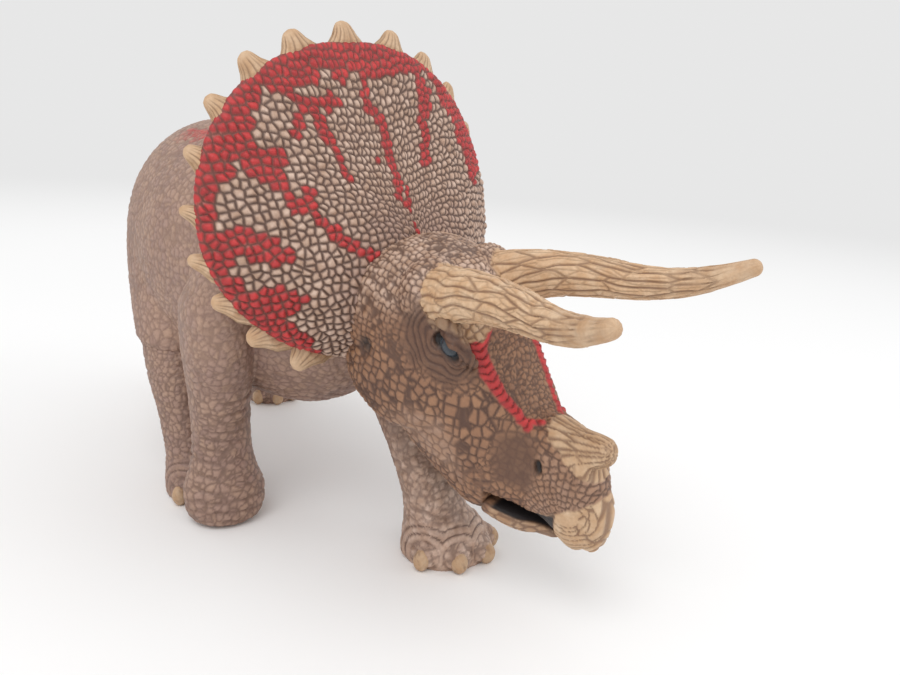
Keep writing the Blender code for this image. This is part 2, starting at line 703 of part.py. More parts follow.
def make_head(root):
    """The skull with its frill, and everything that is moulded on it."""
    skull = loft("head", SKULL_SHARES, skull_section, SKULL_SIDES, SKULL_POWER, SKULL_DOME_SHARES)
    head = linked(skull, root)
    width, length, height = HEAD_PLACE_SHARES
    head.location = (width * BODY_WIDTH, length * BODY_LENGTH, height * HIP_HEIGHT)
    turn = (
        Matrix.Rotation(HEAD_YAW, 4, "Z") @ Matrix.Rotation(HEAD_PITCH, 4, "X") @ Matrix.Rotation(HEAD_ROLL, 4, "Y")
    )
    head.rotation_euler = turn.to_euler()
    combine(head, linked(frill_mesh(), head, guide=True), "UNION")
    for number in range(-SPIKES_PER_SIDE, SPIKES_PER_SIDE + 1):
        combine(head, linked(spike_mesh(number), head, guide=True), "UNION")
    nose_root = head_place(NOSE_ROOT_SHARES)
    nose_tip = head_place(NOSE_TIP_SHARES)
    nose = sweep(
        "nose_horn_form", [nose_root, (nose_root + nose_tip) / 2, nose_tip],
        [share * NOSE_HORN_RADIUS for share in NOSE_GIRTH_SHARES], HORN_SIDES,
    )
    combine(head, linked(nose, head, guide=True), "UNION")
    for side, label in ((-1, "right"), (1, "left")):
        eye = head_place(EYE_SHARES)
        eye.x *= side
        combine(head, linked(ball(label + "_eye_form", eye, Vector.Fill(3, EYE_RADIUS)), head, guide=True), "UNION")
        jowl = head_place(JOWL_SHARES)
        jowl.x *= side
        reaches = Vector((JOWL_THICKNESS, JOWL_LENGTH, JOWL_DEPTH)) / 2
        combine(head, linked(ball(label + "_jowl_form", jowl, reaches, JOWL_SIDES), head, guide=True), "UNION")
        combine(head, linked(collar_mesh(label + "_collar_form", side), head, guide=True), "UNION")
    return head


def make_horns(head):
    """Both brow horns, each with its peg in the skull."""
    for side, label in ((-1, "right"), (1, "left")):
        pocket = linked(horn_mesh(label + "_horn_pocket_form", side, CLEARANCE), head, guide=True)
        combine(head, pocket, "DIFFERENCE")
        horn = linked(horn_mesh(label + "_brow_horn", side), head)
        finish(horn, HORN_TAN, 0.5)


def make_jaw(head):
    """The lower jaw, hung on a pin between the cheeks."""
    hinge = head_place(JAW_HINGE_SHARES)
    combine(head, linked(prism("mouth_form", mouth_outline(hinge), SKULL_WIDTH), head, guide=True), "DIFFERENCE")
    slot = prism("jaw_slot_form", root_slot_outline(hinge), JAW_HEEL_WIDTH / 2 + CLEARANCE)
    combine(head, linked(slot, head, guide=True), "DIFFERENCE")
    bore = round_bar("pin_bore_form", hinge, PIN_RADIUS + CLEARANCE, PIN_LENGTH / 2 + CLEARANCE)
    combine(head, linked(bore, head, guide=True), "DIFFERENCE")
    pin = linked(round_bar("jaw_pin", Vector(), PIN_RADIUS, PIN_LENGTH / 2), head)
    pin.location = hinge
    finish(pin, STEEL, 0.3, 1.0)
    jaw = linked(round_bar("lower_jaw", Vector(), JAW_HEEL_RADIUS, JAW_HEEL_WIDTH / 2), head)
    jaw.location = hinge
    for name, rows in (("jaw_root_form", JAW_ROOT_SHARES), ("jaw_lip_form", JAW_LIP_SHARES)):
        form = loft(name, rows, jaw_section, LEG_SIDES, SKULL_POWER, JAW_DOME_SHARES)
        part = linked(form, head, guide=True)
        part.location = hinge
        combine(jaw, part, "UNION")
    jaw_bore = linked(round_bar("jaw_bore_form", Vector(), PIN_RADIUS + CLEARANCE, JAW_WIDTH), head, guide=True)
    jaw_bore.location = hinge
    combine(jaw, jaw_bore, "DIFFERENCE")
    finish(jaw, LIP_BROWN)


def seat_head_on_neck(head, root):
    """The pocket at the back of the head that takes the neck."""
    front = TORSO_SHARES[:NECK_ROWS]
    neck = loft(
        "neck_pocket_form", front, torso_section, BODY_SIDES, BODY_POWER, NECK_DOME_SHARES, CLEARANCE, BODY_STEPS
    )
    combine(head, linked(neck, root, guide=True), "DIFFERENCE")
    peg = loft(
        "neck_peg_pocket_form", NECK_PEG_SHARES, torso_section, LEG_SIDES, BODY_POWER, PEG_DOME_SHARES, CLEARANCE
    )
    combine(head, linked(peg, root, guide=True), "DIFFERENCE")


def centre_on_floor(root):
    """Move the whole figure so that the middle of its outline box stands at the origin."""
    bpy.context.view_layer.update()
    graph = bpy.context.evaluated_depsgraph_get()
    corners = []
    for piece in bpy.context.scene.objects:
        if piece.type != "MESH" or piece.hide_render:
            continue
        solid = piece.evaluated_get(graph)
        mesh = solid.to_mesh()
        points = np.empty(3 * len(mesh.vertices))
        mesh.vertices.foreach_get("co", points)
        solid.to_mesh_clear()
        turned = points.reshape(-1, 3) @ np.array(piece.matrix_world.to_3x3()).T
        corners.append(turned + np.array(piece.matrix_world.translation))
    places = np.concatenate(corners)
    low = places.min(axis=0)
    high = places.max(axis=0)
    root.location = (-(low[0] + high[0]) / 2, -(low[1] + high[1]) / 2, -low[2])


def main():
    for leftover in list(bpy.data.objects):
        bpy.data.objects.remove(leftover)
    root = bpy.data.objects.new("figure", None)
    bpy.context.scene.collection.objects.link(root)
    torso = make_torso(root)
    make_legs(torso, root)
    make_tail(torso, root)
    finish(torso, SKIN)
    head = make_head(root)
    make_horns(head)
    make_jaw(head)
    seat_head_on_neck(head, root)
    finish(head, FRILL_RED)
    centre_on_floor(root)


main()
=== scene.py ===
"""Dresses the walking horned dinosaur toy: skin, frill, horns, jaw, eyes and nails, with stage and camera.

All sizes are in metres. The animal walks towards -Y, its left side is +X and the floor is at zero height.
"""
import math
import bmesh
import bpy
import numpy as np
from bpy.props import FloatProperty, FloatVectorProperty, IntProperty, PointerProperty
from mathutils import Matrix, Vector


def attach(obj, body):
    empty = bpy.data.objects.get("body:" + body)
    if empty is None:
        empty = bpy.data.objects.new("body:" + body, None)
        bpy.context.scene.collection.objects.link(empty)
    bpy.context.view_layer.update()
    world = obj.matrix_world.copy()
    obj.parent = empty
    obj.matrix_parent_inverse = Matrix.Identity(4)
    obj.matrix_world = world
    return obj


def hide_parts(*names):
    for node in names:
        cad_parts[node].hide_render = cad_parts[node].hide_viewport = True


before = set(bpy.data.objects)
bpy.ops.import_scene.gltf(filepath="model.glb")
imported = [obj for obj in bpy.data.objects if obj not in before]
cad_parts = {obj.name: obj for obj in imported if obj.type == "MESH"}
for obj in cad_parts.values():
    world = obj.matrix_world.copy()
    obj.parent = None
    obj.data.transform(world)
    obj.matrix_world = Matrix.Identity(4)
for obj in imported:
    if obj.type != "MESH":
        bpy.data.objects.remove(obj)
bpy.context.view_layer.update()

bl_info = {
    "name": "Horned dinosaur toy",
    "version": (1, 0, 0),
    "blender": (4, 5, 0),
    "location": "View3D > Sidebar > Toy",
    "description": "Builds the painted skin, frill, horns and jaw of a walking horned dinosaur toy",
    "category": "Object",
}

MM = 0.001

# Driving sizes of the forms, as in the solid model
BODY_LENGTH = 0.104
BODY_WIDTH = 0.055
BODY_DEPTH = 0.057
HIP_HEIGHT = 0.085
LEG_GIRTH = 0.016
THIGH_GIRTH = 0.032
TAIL_LENGTH = 0.035
TAIL_GIRTH = 0.020
TAIL_DROP = 0.024
TAIL_SWING = 0.013
SKULL_LENGTH = 0.060
SKULL_WIDTH = 0.032
SKULL_DEPTH = 0.037
SKULL_REAR = 0.010
FRILL_WIDTH = 0.0717
FRILL_HEIGHT = 0.0682
FRILL_THICKNESS = 0.0036
FRILL_SETBACK = 0.0168
FRILL_RISE = 0.0042
FRILL_CURL = 0.0034
FRILL_LEAN = math.radians(23)
FRILL_SPAN = math.radians(148)
HORN_LENGTH = 0.0419
HORN_SPREAD = 0.0139
HORN_RISE = 0.0170
HORN_BASE_RADIUS = 0.0055
HORN_BEND_SHARES = ((0.455, 0.555, 0.760), (0.338, 0.606, 0.260))
HORN_GIRTH_SHARES = ((0.0, 1.0), (0.3, 0.73), (0.6, 0.555), (0.85, 0.45), (1.0, 0.27))
JAW_LENGTH = 0.0213
JAW_WIDTH = 0.0146
JAW_DEPTH = 0.0052
SPIKES_PER_SIDE = 9

# Ways to the animal's left, ahead and up, and the sizes that shares of the body are taken of
ASIDE = np.array((1.0, 0.0, 0.0))
AHEAD = np.array((0.0, -1.0, 0.0))
UP = np.array((0.0, 0.0, 1.0))
BODY_SIZES = np.array((BODY_WIDTH, BODY_LENGTH, HIP_HEIGHT))
SKULL_SIZES = np.array((SKULL_WIDTH, SKULL_LENGTH, SKULL_DEPTH))

# Where the figure's own frame and the head's own frame stand
FIGURE_SHIFT = np.array((-0.01166, -0.01155, 0.0))
HEAD_PLACE = np.array((0.280, -0.298, 0.725)) * BODY_SIZES + FIGURE_SHIFT
HEAD_AXES = np.array(
    Matrix.Rotation(math.radians(18.2), 3, "Z")
    @ Matrix.Rotation(math.radians(12.6), 3, "X")
    @ Matrix.Rotation(math.radians(-6.2), 3, "Y")
)

TORSO_SHARES = (
    (0.205, -0.165, 0.655, 0.220, 0.215, 0.225),
    (0.150, -0.090, 0.650, 0.315, 0.310, 0.420),
    (0.091, 0.000, 0.640, 0.400, 0.405, 0.500),
    (0.036, 0.115, 0.637, 0.450, 0.475, 0.505),
    (0.000, 0.269, 0.647, 0.490, 0.505, 0.495),
    (-0.010, 0.423, 0.665, 0.490, 0.525, 0.480),
    (-0.005, 0.558, 0.690, 0.430, 0.465, 0.400),
    (0.004, 0.673, 0.705, 0.309, 0.340, 0.270),
    (0.018, 0.760, 0.700, 0.200, 0.220, 0.165),
)
RIGHT_FORELEG_SHARES = (
    (0.000, -0.288, 0.000, 0.32, 0.26, 0.26),
    (0.018, -0.288, 0.000, 0.46, 0.36, 0.34),
    (0.050, -0.288, 0.003, 0.54, 0.39, 0.36),
    (0.090, -0.288, 0.008, 0.55, 0.40, 0.37),
    (0.140, -0.289, 0.015, 0.46, 0.37, 0.36),
    (0.190, -0.290, 0.021, 0.40, 0.36, 0.37),
    (0.260, -0.292, 0.026, 0.385, 0.40, 0.42),
    (0.360, -0.298, 0.028, 0.41, 0.50, 0.54),
    (0.460, -0.310, 0.018, 0.45, 0.62, 0.66),
    (0.560, -0.315, 0.016, 0.45, 0.66, 0.70),
    (0.650, -0.280, 0.020, 0.38, 0.54, 0.58),
)
LEFT_FORELEG_SHARES = (
    (0.000, 0.418, -0.306, 0.59, 0.56, 0.50),
    (0.035, 0.418, -0.307, 0.60, 0.56, 0.50),
    (0.080, 0.402, -0.307, 0.53, 0.50, 0.47),
    (0.130, 0.370, -0.303, 0.41, 0.42, 0.43),
    (0.190, 0.345, -0.290, 0.365, 0.38, 0.42),
    (0.270, 0.325, -0.255, 0.375, 0.40, 0.46),
    (0.350, 0.318, -0.198, 0.41, 0.45, 0.54),
    (0.440, 0.330, -0.125, 0.44, 0.50, 0.62),
    (0.540, 0.340, -0.040, 0.45, 0.54, 0.66),
    (0.640, 0.320, 0.010, 0.40, 0.50, 0.58),
)
RIGHT_SHANK_SHARES = (
    (0.000, -0.325, 0.155, 0.45, 0.47, 0.50),
    (0.035, -0.325, 0.155, 0.46, 0.48, 0.51),
    (0.080, -0.332, 0.162, 0.42, 0.45, 0.48),
    (0.130, -0.344, 0.178, 0.365, 0.41, 0.44),
    (0.210, -0.358, 0.203, 0.36, 0.42, 0.47),
    (0.320, -0.372, 0.234, 0.42, 0.52, 0.57),
    (0.400, -0.378, 0.262, 0.43, 0.56, 0.57),
    (0.470, -0.372, 0.285, 0.36, 0.46, 0.46),
    (0.540, -0.364, 0.310, 0.28, 0.36, 0.36),
)
LEFT_SHANK_SHARES = (
    (0.000, 0.345, 0.730, 0.45, 0.50, 0.50),
    (0.035, 0.345, 0.730, 0.46, 0.50, 0.51),
    (0.080, 0.349, 0.722, 0.42, 0.46, 0.48),
    (0.130, 0.354, 0.700, 0.365, 0.42, 0.44),
    (0.210, 0.360, 0.665, 0.36, 0.43, 0.47),
    (0.320, 0.366, 0.615, 0.42, 0.51, 0.55),
    (0.400, 0.366, 0.578, 0.42, 0.54, 0.54),
    (0.470, 0.362, 0.560, 0.36, 0.45, 0.45),
    (0.540, 0.352, 0.545, 0.28, 0.36, 0.36),
)
RIGHT_THIGH_SHARES = (
    (0.425, -0.374, 0.280, 0.252, 0.345, 0.335),
    (0.500, -0.362, 0.330, 0.270, 0.44, 0.40),
    (0.590, -0.337, 0.380, 0.300, 0.52, 0.48),
    (0.700, -0.295, 0.430, 0.335, 0.53, 0.50),
    (0.830, -0.230, 0.460, 0.300, 0.43, 0.43),
)
LEFT_THIGH_SHARES = (
    (0.425, 0.362, 0.564, 0.250, 0.335, 0.335),
    (0.500, 0.360, 0.545, 0.275, 0.42, 0.40),
    (0.590, 0.345, 0.520, 0.315, 0.50, 0.48),
    (0.700, 0.300, 0.500, 0.335, 0.51, 0.50),
    (0.830, 0.220, 0.485, 0.300, 0.43, 0.43),
)
TAIL_SHARES = (
    (0.00, 0.00, 0.00, 0.55, 0.62, 0.47),
    (0.20, 0.12, 0.16, 0.43, 0.50, 0.40),
    (0.42, 0.32, 0.38, 0.32, 0.38, 0.31),
    (0.65, 0.58, 0.64, 0.22, 0.26, 0.21),
    (0.88, 0.86, 0.90, 0.12, 0.14, 0.11),
    (0.98, 1.00, 1.00, 0.07, 0.08, 0.07),
)
SKULL_SHARES = (
    (0.00, -0.20, 0.38, 0.28, 0.26),
    (0.13, -0.22, 0.49, 0.39, 0.34),
    (0.27, -0.28, 0.48, 0.46, 0.50),
    (0.38, -0.36, 0.45, 0.50, 0.545),
    (0.50, -0.46, 0.400, 0.405, 0.54),
    (0.62, -0.58, 0.340, 0.315, 0.47),
    (0.72, -0.64, 0.268, 0.25, 0.32),
    (0.83, -0.66, 0.203, 0.27, 0.24),
    (0.93, -0.72, 0.150, 0.24, 0.245),
    (0.975, -0.76, 0.100, 0.15, 0.17),
)
JAW_ROOT_SHARES = (
    (0.00, -0.12, 0.32, 0.48, 0.54),
    (0.30, -0.22, 0.32, 0.40, 0.70),
    (0.60, -0.42, 0.32, 0.30, 0.66),
)
JAW_LIP_SHARES = (
    (0.405, -0.42, 0.60, 0.26, 0.70),
    (0.440, -0.42, 0.60, 0.26, 0.70),
    (0.520, -0.43, 0.57, 0.27, 0.70),
    (0.62, -0.46, 0.53, 0.28, 0.70),
    (0.75, -0.52, 0.45, 0.28, 0.60),
    (0.87, -0.62, 0.28, 0.26, 0.40),
    (0.96, -0.70, 0.17, 0.20, 0.30),
)
HORN_ROOT = np.array((0.240, -0.173, 0.020)) * SKULL_SIZES
JOWL_PLACE = np.array((0.400, -0.105, -0.455)) * SKULL_SIZES
JOWL_REACH = (0.0028, 0.0125, 0.0090)
EYE_PLACE = np.array((0.372, -0.305, -0.130)) * SKULL_SIZES
JAW_HINGE = np.array((0.0, -0.350, -0.850)) * SKULL_SIZES
MOUTH_LINE_SHARES = ((-0.492, -0.811), (-0.600, -0.822), (-0.675, -0.850), (-0.722, -0.930), (-0.732, -1.080))
FORE_TOE_TURNS = np.radians((-56, -11, 32, 74))
HIND_TOE_TURNS = np.radians((-45, -2, 41))

# Camera: place in the figure's frame, then its turns, and lens and sensor in millimetres
CAMERA_PLACE = np.array((-0.06078, -0.16758, 0.08982))
CAMERA_AZIMUTH = math.radians(-31.0)
CAMERA_ELEVATION = math.radians(14.83)
CAMERA_ROLL = math.radians(4.0)
CAMERA_LENS = 32.59
SENSOR_WIDTH = 36.0


def colour(red, green, blue):
    """Linear colour of a paint that is read as three numbers up to 255 on a screen."""
    screen = np.array((red, green, blue)) / 255
    return tuple(np.where(screen <= 0.04045, screen / 12.92, ((screen + 0.055) / 1.055) ** 2.4))


def length(name, description, millimetres):
    """A length that a user may change."""
    size = millimetres * MM
    return FloatProperty(name=name, description=description, default=size, unit="LENGTH", precision=5)


def paint(name, description, *screen):
    """A paint that a user may change."""
    return FloatVectorProperty(name=name, description=description, subtype="COLOR", default=colour(*screen))


class ToySizes(bpy.types.PropertyGroup):
    """Sizes of the fine work that a user would change."""

    skin_mesh: length("Skin mesh", "Distance between points of the body's skin", 0.42)
    head_mesh: length("Head mesh", "Distance between points of the head's skin", 0.31)
    frill_scale: length("Frill scale height", "Height of the domed scales on the frill", 0.60)
    face_scale: length("Face scale height", "Height of the scales on the face", 0.46)
    body_scale: length("Body scale height", "Height of the pebbled skin of body and legs", 0.28)
    crack_depth: length("Crack depth", "Depth of the cracks in horns and beak", 0.26)
    horn_points: IntProperty(name="Horn points", description="Points along one brow horn", default=170)


class ToyPaints(bpy.types.PropertyGroup):
    """Paints that a user would change."""

    skin: paint("Skin", "Main brown of body and legs", 176, 144, 128)
    skin_cool: paint("Cool skin", "Mauve brown that the skin drifts to", 154, 124, 114)
    skin_warm: paint("Warm skin", "Tan brown of some scales", 188, 154, 128)
    face: paint("Face", "Brown of the face", 150, 109, 81)
    face_cool: paint("Cool face", "Darker brown that the face drifts to", 128, 92, 71)
    face_warm: paint("Warm face", "Paler brown of some scales of the face", 176, 132, 98)
    frill: paint("Frill", "Pale brown of the frill's scales", 222, 195, 177)
    red: paint("Red", "Red of the painted scales", 204, 56, 56)
    red_deep: paint("Deep red", "Darker red between painted scales", 150, 40, 44)
    wash: paint("Wash", "Dark wash that lies in the grooves", 80, 54, 43)
    horn: paint("Horn", "Tan of horns, beak and nails", 230, 200, 166)
    horn_warm: paint("Warm horn", "Warmer tan of horns, beak and nails", 208, 168, 128)
    crack: paint("Crack", "Brown of the cracks", 118, 84, 62)
    mouth: paint("Mouth", "Near black of mouth and nostrils", 34, 28, 28)
    eye: paint("Eye", "Slate grey of the eyes", 66, 76, 84)
    eye_deep: paint("Deep eye", "Darker grey that the eyes drift to", 40, 44, 50)


def sizes():
    """The sizes as the user has set them."""
    return bpy.context.scene.toy_sizes


def paints():
    """The paints as the user has set them."""
    return bpy.context.scene.toy_paints


def smooth_rows(rows, steps):
    """Rows of a table with steps between them, on cubics whose slopes never overshoot the rows."""
    table = np.array(rows, dtype=float)
    slopes = np.diff(table, axis=0)
    tangents = np.zeros_like(table)
    tangents[0] = slopes[0]
    tangents[-1] = slopes[-1]
    agree = slopes[1:] * slopes[:-1] > 0
    total = np.where(agree, slopes[1:] + slopes[:-1], 1.0)
    tangents[1:-1] = np.where(agree, 2 * slopes[1:] * slopes[:-1] / total, 0.0)
    t = np.linspace(0, 1, steps, endpoint=False)[None, :, None]
    read = (
        (2 * t**3 - 3 * t**2 + 1) * table[:-1, None]
        + (t**3 - 2 * t**2 + t) * tangents[:-1, None]
        + (3 * t**2 - 2 * t**3) * table[1:, None]
        + (t**3 - t**2) * tangents[1:, None]
    )
    return np.concatenate((read.reshape(-1, table.shape[1]), table[-1:]))


def bent(values, power):
    """Signed power: keeps the sign and raises the size."""
    return np.sign(values) * np.abs(values) ** power


def ramp(values, low, high):
    """Smooth step from zero at low to one at high."""
    t = np.clip((values - low) / (high - low), 0, 1)
    return t * t * (3 - 2 * t)


def unit(ways):
    """Ways brought to a length of one."""
    return ways / np.linalg.norm(ways, axis=-1, keepdims=True)


def full_turn(count):
    """Even angles once round."""
    return np.linspace(0, 2 * math.pi, count, endpoint=False)


def closed_grid(rings, first_tip, last_tip):
    """Points and faces of a closed form: each ring joined to the next, and a point at both ends."""
    count, sides = rings.shape[:2]
    points = np.concatenate((rings.reshape(-1, 3), [first_tip, last_tip]))
    start = (np.arange(count - 1)[:, None] * sides + np.arange(sides)[None, :]).ravel()
    beside = (np.arange(count - 1)[:, None] * sides + (np.arange(sides)[None, :] + 1) % sides).ravel()
    quads = np.stack((start, beside, beside + sides, start + sides), axis=1)
    side = np.arange(sides)
    following = (side + 1) % sides
    last = (count - 1) * sides
    first_fan = np.stack((following, side, np.full(sides, len(points) - 2)), axis=1)
    last_fan = np.stack((last + side, last + following, np.full(sides, len(points) - 1)), axis=1)
    return points, quads.tolist() + first_fan.tolist() + last_fan.tolist()


def ovals(middles, across, upright, wide, above, below, sides, power):
    """Rings of ovals: half width times cosine and reach times sine, both raised to two over the power."""
    turn = full_turn(sides)
    reach = np.where(np.sin(turn)[None, :] > 0, above[:, None], below[:, None])
    sidewards = wide[:, None] * bent(np.cos(turn), 2 / power)[None, :]
    upwards = reach * bent(np.sin(turn), 2 / power)[None, :]
    return middles[:, None] + sidewards[..., None] * across + upwards[..., None] * upright


def domed(rings, depths, steps=8):
    """Rings with both ends closed by quarter ovals of the given depths, and the tips."""
    middles = rings.mean(axis=1)
    turns = np.linspace(0, math.pi / 2, steps, endpoint=False)[1:]
    parts = [rings]
    tips = []
    for end, inner, depth, first in ((0, 1, depths[0], True), (-1, -2, depths[1], False)):
        heading = unit(middles[end] - middles[inner])
        shrunk = (rings[end] - middles[end])[None] * np.cos(turns)[:, None, None]
        moved = middles[end] + shrunk + heading * depth * np.sin(turns)[:, None, None]
        tips.append(middles[end] + heading * depth)
        parts = [moved[::-1]] + parts if first else parts + [moved]
    return np.concatenate(parts), tips[0], tips[1]


def loft(rows, section, power, dome_shares, sides=64, steps=8):
    """Closed form through smoothed section rows, its ends rounded to a share of their half width."""
    middles, across, upright, wide, above, below = section(smooth_rows(rows, steps))
    rings = ovals(middles, across, upright, wide, above, below, sides, power)
    depths = np.maximum(dome_shares, FLATTEST_DOME_SHARE) * wide[[0, -1]]
    return closed_grid(*domed(rings, depths))


def oval_rows(middles, upright, shares, width, depth):
    """Rows of ovals: middles, the ways aside and up, and their reach aside, above and below."""
    wide, above, below = shares.T
    return middles, ASIDE, upright, wide * width, above * depth, below * depth


def body_section(table):
    """Upright ovals of the body: aside, along, height, half width, above and below."""
    return oval_rows(table[:, :3] * BODY_SIZES, UP, table[:, 3:], BODY_WIDTH, BODY_DEPTH)


def leg_section(girth):
    """Level ovals of a leg: height, aside, along, half width, front and back."""
    return lambda table: oval_rows(table[:, [1, 2, 0]] * BODY_SIZES, AHEAD, table[:, 3:], girth, girth)


def tail_section(table):
    """Upright ovals of the tail: along, swing, drop, half width, above and below."""
    root = np.array(TORSO_SHARES[-1][:3]) * BODY_SIZES
    middles = root + table[:, [1, 0, 2]] * np.array((TAIL_SWING, TAIL_LENGTH, -TAIL_DROP))
    return oval_rows(middles, UP, table[:, 3:], TAIL_GIRTH, TAIL_GIRTH)


def head_section(start, width, length, depth):
    """Upright ovals in the head's middle plane: forward, height, half width, and reach above and below."""

    def section(table):
        forward, height = table[:, :2].T
        middles = start + np.stack((0 * forward, -forward * length, height * depth), axis=1)
        return oval_rows(middles, UP, table[:, 2:], width, depth)

    return section


def ellipsoid(centre, axes, sides=32, rows=16):
    """Closed ball stretched along three axes: centre plus cosines and sines times the axes."""
    axes = np.array(axes, dtype=float)
    lift = np.linspace(-math.pi / 2, math.pi / 2, rows + 2)[1:-1]
    turn = full_turn(sides)
    level = np.cos(lift)[:, None, None]
    rings = centre + level * (np.cos(turn)[None, :, None] * axes[0] + np.sin(turn)[None, :, None] * axes[1])
    rings = rings + np.sin(lift)[:, None, None] * axes[2]
    return closed_grid(rings, centre - axes[2], centre + axes[2])


def tube_rings(points, radii, turn):
    """Circles across a path: each place plus radius times cosine across and sine upright. Across is level."""
    ahead = unit(np.gradient(points, axis=0))
    across = unit(np.cross(ahead, UP))
    upright = np.cross(across, ahead)
    circles = np.cos(turn)[None, :, None] * across[:, None] + np.sin(turn)[None, :, None] * upright[:, None]
    return points[:, None] + circles * radii[:, None, None], circles, ahead


def sweep(points, radii, sides=48, dome=1.0, first_dome=0.1):
    """Round bar of changing radius along points, with rounded ends."""
    rings, _, _ = tube_rings(np.array(points), np.array(radii), full_turn(sides))
    return closed_grid(*domed(rings, (first_dome * radii[0], dome * radii[-1])))


def scatter(cells, salt):
    """Three even numbers between zero and one for each whole-numbered cell, from mixed integers."""
    mixed = (cells.astype(np.int64) @ np.array((73856093, 19349663, 83492791)) + salt * 40503) & 0xFFFFFFFF
    drawn = []
    for _ in range(3):
        mixed = ((mixed ^ (mixed >> 15)) * 0x2C1B3C6D) & 0xFFFFFFFF
        mixed = ((mixed ^ (mixed >> 12)) * 0x297A2D39) & 0xFFFFFFFF
        mixed = mixed ^ (mixed >> 15)
        drawn.append(mixed / 0xFFFFFFFF)
    return np.stack(drawn, axis=1)


def cells(places, salt, jitter=0.8, flat=False, around=0):
    """Distance to the border of the nearest jittered cell, its number, its seed, and the way to the next.

    The border between the two nearest seeds is half the difference of their squared distances over their gap.
    """
    base = np.floor(places)
    best = np.full(len(places), np.inf)
    second = best.copy()
    seed = np.zeros_like(places)
    other = np.zeros_like(places)
    tone = np.zeros(len(places))
    depth = (0,) if flat else (-1, 0, 1)
    for step in [(x, y, z) for x in (-1, 0, 1) for y in (-1, 0, 1) for z in depth]:
        corner = base + step
        named = corner.copy()
        if around:
            named[:, 1] = named[:, 1] % around
        drawn = scatter(named, salt)
        place = corner + 0.5 + jitter * (drawn - 0.5)
        if flat:
            place[:, 2] = 0.0
        gap = ((place - places) ** 2).sum(axis=1)
        nearer = gap < best
        runner = ~nearer & (gap < second)
        other = np.where(nearer[:, None], seed, np.where(runner[:, None], place, other))
        second = np.where(nearer, best, np.where(runner, gap, second))
        seed = np.where(nearer[:, None], place, seed)
        tone = np.where(nearer, drawn[:, 0], tone)
        best = np.where(nearer, gap, best)
    apart = np.maximum(np.linalg.norm(other - seed, axis=1), 1e-6)
    return (second - best) / (2 * apart), tone, seed, (other - seed) / apart[:, None]


def noise(places, salt):
    """Smooth random field between zero and one: numbers at whole-numbered corners, blended between them."""
    base = np.floor(places)
    part = places - base
    part = part * part * (3 - 2 * part)
    total = np.zeros(len(places))
    for step in [(x, y, z) for x in (0, 1) for y in (0, 1) for z in (0, 1)]:
        weight = np.prod(np.where(np.array(step)[None, :] == 1, part, 1 - part), axis=1)
        total += weight * scatter(base + step, salt)[:, 0]
    return total


def rough_noise(places, salt, octaves=3):
    """Sum of noise fields, each half as large and twice as fine."""
    total = np.zeros(len(places))
    for octave in range(octaves):
        total += noise(places * 2.0**octave + 7.3 * octave, salt + octave) / 2.0 ** (octave + 1)
    return total / (1 - 0.5**octaves)


def wobble(points, size, salt, reach):
    """A soft random shift by up to half the reach either way, in waves of that size."""
    return reach * (noise(points / size, salt) - 0.5)


def drift(points, size, salt, reach):
    """A soft random shift of each place in all three directions, by up to half the reach either way."""
    shifts = [reach * (noise(points / size + shift, salt + shift) - 0.5) for shift in range(3)]
    return np.stack(shifts, axis=1)


def pebbles(places, salt, jitter=0.8, flat=False, dome=0.42, gap_width=0.10, roundness=0.0):
    """Domed scales, with the darkness of the gap, the scale's number and its seed.

    The height rises from the border as a quarter circle, and roundness takes some away with the squared
    distance from the seed. The gap is dark close to the border.
    """
    border, tone, seed, _ = cells(places, salt, jitter, flat)
    height = np.sqrt(np.clip(1 - (1 - np.clip(border / dome, 0, 1)) ** 2, 0, 1))
    height = height * (1 - roundness * np.clip(np.linalg.norm(places - seed, axis=1) / 0.7, 0, 1) ** 2)
    return height, 1 - ramp(border, gap_width * 0.35, gap_width * 1.9), tone, seed


def bark(along, angle, radius, length, count, salt, width):
    """Cracks on a round bar as borders of long cells, in millimetres, and the cells' numbers.

    The distance to a border in the stretched cells is divided by its slope on the real surface. Cracks
    that run across the bar are fainter.
    """
    places = np.stack((along / length, angle / (2 * math.pi) * count + 4 * count, 0 * along), axis=1)
    border, tone, _, heading = cells(places, salt, 0.85, True, count)
    steep_along = heading[:, 0] / length
    steep_around = heading[:, 1] * count / (2 * math.pi * np.maximum(radius, 0.2))
    steep = np.maximum(np.hypot(steep_along, steep_around), 1e-6)
    apart = border / steep
    return (1 - ramp(apart, 0.25 * width, width)) * (0.35 + 0.65 * (steep_around / steep) ** 2), tone


def patch(places, outline, soft):
    """Share of lying inside a flat outline: one inside, zero outside, blended across its border."""
    outline = np.array(outline, dtype=float)
    edge, _ = line_distance(places, np.concatenate((outline, outline[:1])))
    inside = np.zeros(len(places), dtype=bool)
    for start, end in zip(outline, np.roll(outline, -1, axis=0)):
        spans = (start[1] > places[:, 1]) != (end[1] > places[:, 1])
        rise = end[1] - start[1] if end[1] != start[1] else 1.0
        crossing = start[0] + (places[:, 1] - start[1]) * (end[0] - start[0]) / rise
        inside ^= spans & (places[:, 0] < crossing)
    return ramp(np.where(inside, edge, -edge), -soft, soft)


def line_distance(places, points):
    """Distance to a broken line, and how far along it the nearest place lies."""
    points = np.array(points, dtype=float)
    nearest = np.full(len(places), np.inf)
    along = np.zeros(len(places))
    walked = 0.0
    for start, end in zip(points, points[1:]):
        reach = end - start
        length = np.linalg.norm(reach)
        t = np.clip((places - start) @ reach / length**2, 0, 1)
        gap = np.linalg.norm(places - start - t[:, None] * reach, axis=1)
        closer = gap < nearest
        nearest = np.where(closer, gap, nearest)
        along = np.where(closer, walked + t * length, along)
        walked += length
    return nearest, along


